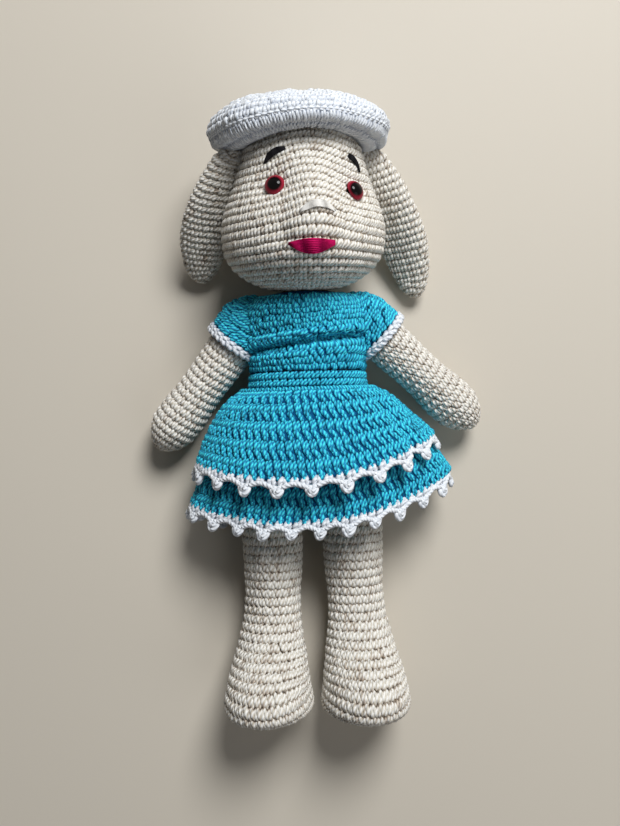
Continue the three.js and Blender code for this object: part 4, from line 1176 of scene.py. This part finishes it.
EYE_FULLNESS = 1.07
EYE_LIFT = 0.0006  # the eyes stand on the stitches by this much
EYE_COLUMNS = 40
EYE_ROWS = 13
BRIM = 0.0003
BRIM_BACK = 0.97  # the back of the brim is this share as wide
SHANK_DEPTH = 0.002  # the shank is measured from this far behind the brim
EYE_RINGS = [(0.0, (4, 4, 6)), (0.57, (6, 4, 6)), (0.65, (92, 10, 26)), (0.82, (158, 36, 56)),
             (0.94, (142, 30, 46)), (1.0, (96, 16, 28))]


def eye_material():
    """Glossy plastic, black in the middle of its gaze and red round it."""
    material, made, shader = principled(
        "eye_plastic", Roughness=0.08, Specular_IOR_Level=0.12, Coat_Weight=0.06, Coat_Roughness=0.03)
    share = put(made, "SeparateXYZ", layer_of(made, "rings")).outputs["X"]
    feed(shader, Base_Color=color_ramp(made, share, EYE_RINGS))
    return material


def make_eye(side, material):
    """A domed safety eye on its shank, turned on the axis that runs through its washer."""
    points = points_of(f"{side}_eye")
    washer = points_of(f"{side}_eye_washer").mean(0)
    axis = unit(farthest(f"{side}_eye", washer) - washer)
    along = (points - washer) @ axis
    off = np.linalg.norm(points - washer - along[:, None] * axis, axis=1)
    radius, tip = off.max() * EYE_FULLNESS, along.max() + EYE_LIFT
    brim = along[np.argmax(off)] + EYE_LIFT
    shank = off[along < brim - SHANK_DEPTH].max()
    turn = np.linspace(0, np.pi / 2, EYE_ROWS + 1)[:-1]
    profile = [(shank, along.min()), (shank, brim - BRIM), (radius * BRIM_BACK, brim - BRIM)]
    profile += [(radius * math.cos(t), brim + (tip - brim) * math.sin(t)) for t in turn]
    spokes = wheel(axis, head_axis, EYE_COLUMNS)
    rings = [washer + spokes * r + axis * h for r, h in profile]
    corners = np.concatenate(rings + [[washer + axis * along.min()], [washer + axis * tip]])
    faces = closed_faces(len(profile), EYE_COLUMNS)
    gaze = unit(axis + face - 2 * DOWN)
    off_gaze = np.linalg.norm(np.cross(corners - washer - brim * axis, gaze), axis=1) / radius
    shares = np.clip(off_gaze, 0, 1)[np.concatenate(faces)]
    layers = [("rings", np.stack([shares, np.full(len(shares), 0.5)], -1))]
    dome = mesh_object(f"{side}_eye_dome", corners, faces, material, layers)
    settle(dome, "head", "eye_plastic", f"{side}_eye")


eye_plastic = eye_material()
washer_plastic = felt_material("washer_plastic", (232, 230, 222), (222, 218, 208))
for side in SIDES:
    make_eye(side, eye_plastic)
    nodes[f"{side}_eye_washer"].data.materials.clear()
    nodes[f"{side}_eye_washer"].data.materials.append(washer_plastic)


# Stage, camera and light

BACKDROP = (*from_srgb(186, 180, 169), 1)
FLOOR = (*from_srgb(201, 193, 179), 1)
FLOOR_HALF = 2
FLOOR_DROP = 0.0002
FADE_START, FADE_END = 0.28, 0.9  # between these distances the floor fades into the backdrop
SENSOR = 36
FOCAL_PIXELS = 941.2
PHOTO_HEIGHT = 826
CAMERA_PLACE = (0.000557, 0.00789, 0.430)
CAMERA_TURN = -1.75
SKY = (0.80, 0.86, 1.0, 1)
SKY_STRENGTH = 0.05
DAYLIGHT = (0.98, 0.99, 1.0)


def reckon(made, operation, one, other):
    node = put(made, "Math", one, other)
    node.operation = operation
    return node.outputs["Value"]


def seen_itself(made):
    """Tells where the camera sees a surface or the room itself, directly or in a reflection."""
    path = put(made, "LightPath")
    seen = path.outputs["Is Camera Ray"]
    for ray in ("Is Glossy Ray", "Is Transmission Ray"):
        seen = reckon(made, "MAXIMUM", seen, path.outputs[ray])
    return seen


def show(made, output, seen, plain, shown):
    """Puts a second shader in the place of a plain one where it is seen."""
    mix = put(made, "MixShader", seen, plain, shown)
    feed(made[output], Surface=mix.outputs["Shader"])


def plain_floor():
    """A pale floor that lights the doll as it is, and runs into the backdrop without a horizon."""
    material, made, shader = principled("floor", Base_Color=FLOOR, Roughness=0.6)
    glow = put(made, "Emission", BACKDROP)
    away = put(made, "VectorMath", put(made, "NewGeometry").outputs["Position"])
    away.operation = "LENGTH"
    fade = put(made, "MapRange", away.outputs["Value"], FADE_START, FADE_END)
    fade.interpolation_type = "SMOOTHSTEP"
    seen = reckon(made, "MULTIPLY", seen_itself(made), fade.outputs["Result"])
    show(made, "Material Output", seen, shader.outputs["BSDF"], glow.outputs["Emission"])
    corners = [(x * FLOOR_HALF, y * FLOOR_HALF, 0) for x, y in ((-1, -1), (1, -1), (1, 1), (-1, 1))]
    floor = mesh_object("floor", corners, [(0, 1, 2, 3)], material)
    floor.location.z = -FLOOR_DROP


def pale_room():
    """A dim sky for light, and a pale backdrop where the room itself is seen."""
    world = bpy.data.worlds.new("room")
    world.use_nodes = True
    made = world.node_tree.nodes
    sky = feed(made["Background"], SKY, SKY_STRENGTH).outputs["Background"]
    backdrop = put(made, "Background", BACKDROP).outputs["Background"]
    show(made, "World Output", seen_itself(made), sky, backdrop)
    bpy.context.scene.world = world


def add_camera():
    camera = bpy.data.cameras.new("camera")
    camera.sensor_fit = "VERTICAL"
    camera.sensor_height = SENSOR
    camera.lens = SENSOR * FOCAL_PIXELS / PHOTO_HEIGHT
    seat = add_object("camera", camera)
    seat.location = CAMERA_PLACE
    seat.rotation_euler = (0, 0, math.radians(CAMERA_TURN))
    bpy.context.scene.camera = seat


def add_lamp(name, place, target, size, energy):
    lamp = bpy.data.lights.new(name, "AREA")
    lamp.shape = "DISK"
    lamp.size = size
    lamp.energy = energy
    lamp.color = DAYLIGHT
    seat = add_object(name, lamp)
    seat.location = place
    seat.rotation_euler = (Vector(target) - Vector(place)).to_track_quat("-Z", "Y").to_euler()


plain_floor()
add_camera()
add_lamp("window", place=(0.36, 0.85, 1.06), target=(0, 0.02, 0.02), size=0.62, energy=21.6)
add_lamp("fill", place=(0.60, -0.35, 0.70), target=(0, 0, 0), size=0.8, energy=1.6)
pale_room()
bpy.context.scene.view_settings.view_transform = "Standard"
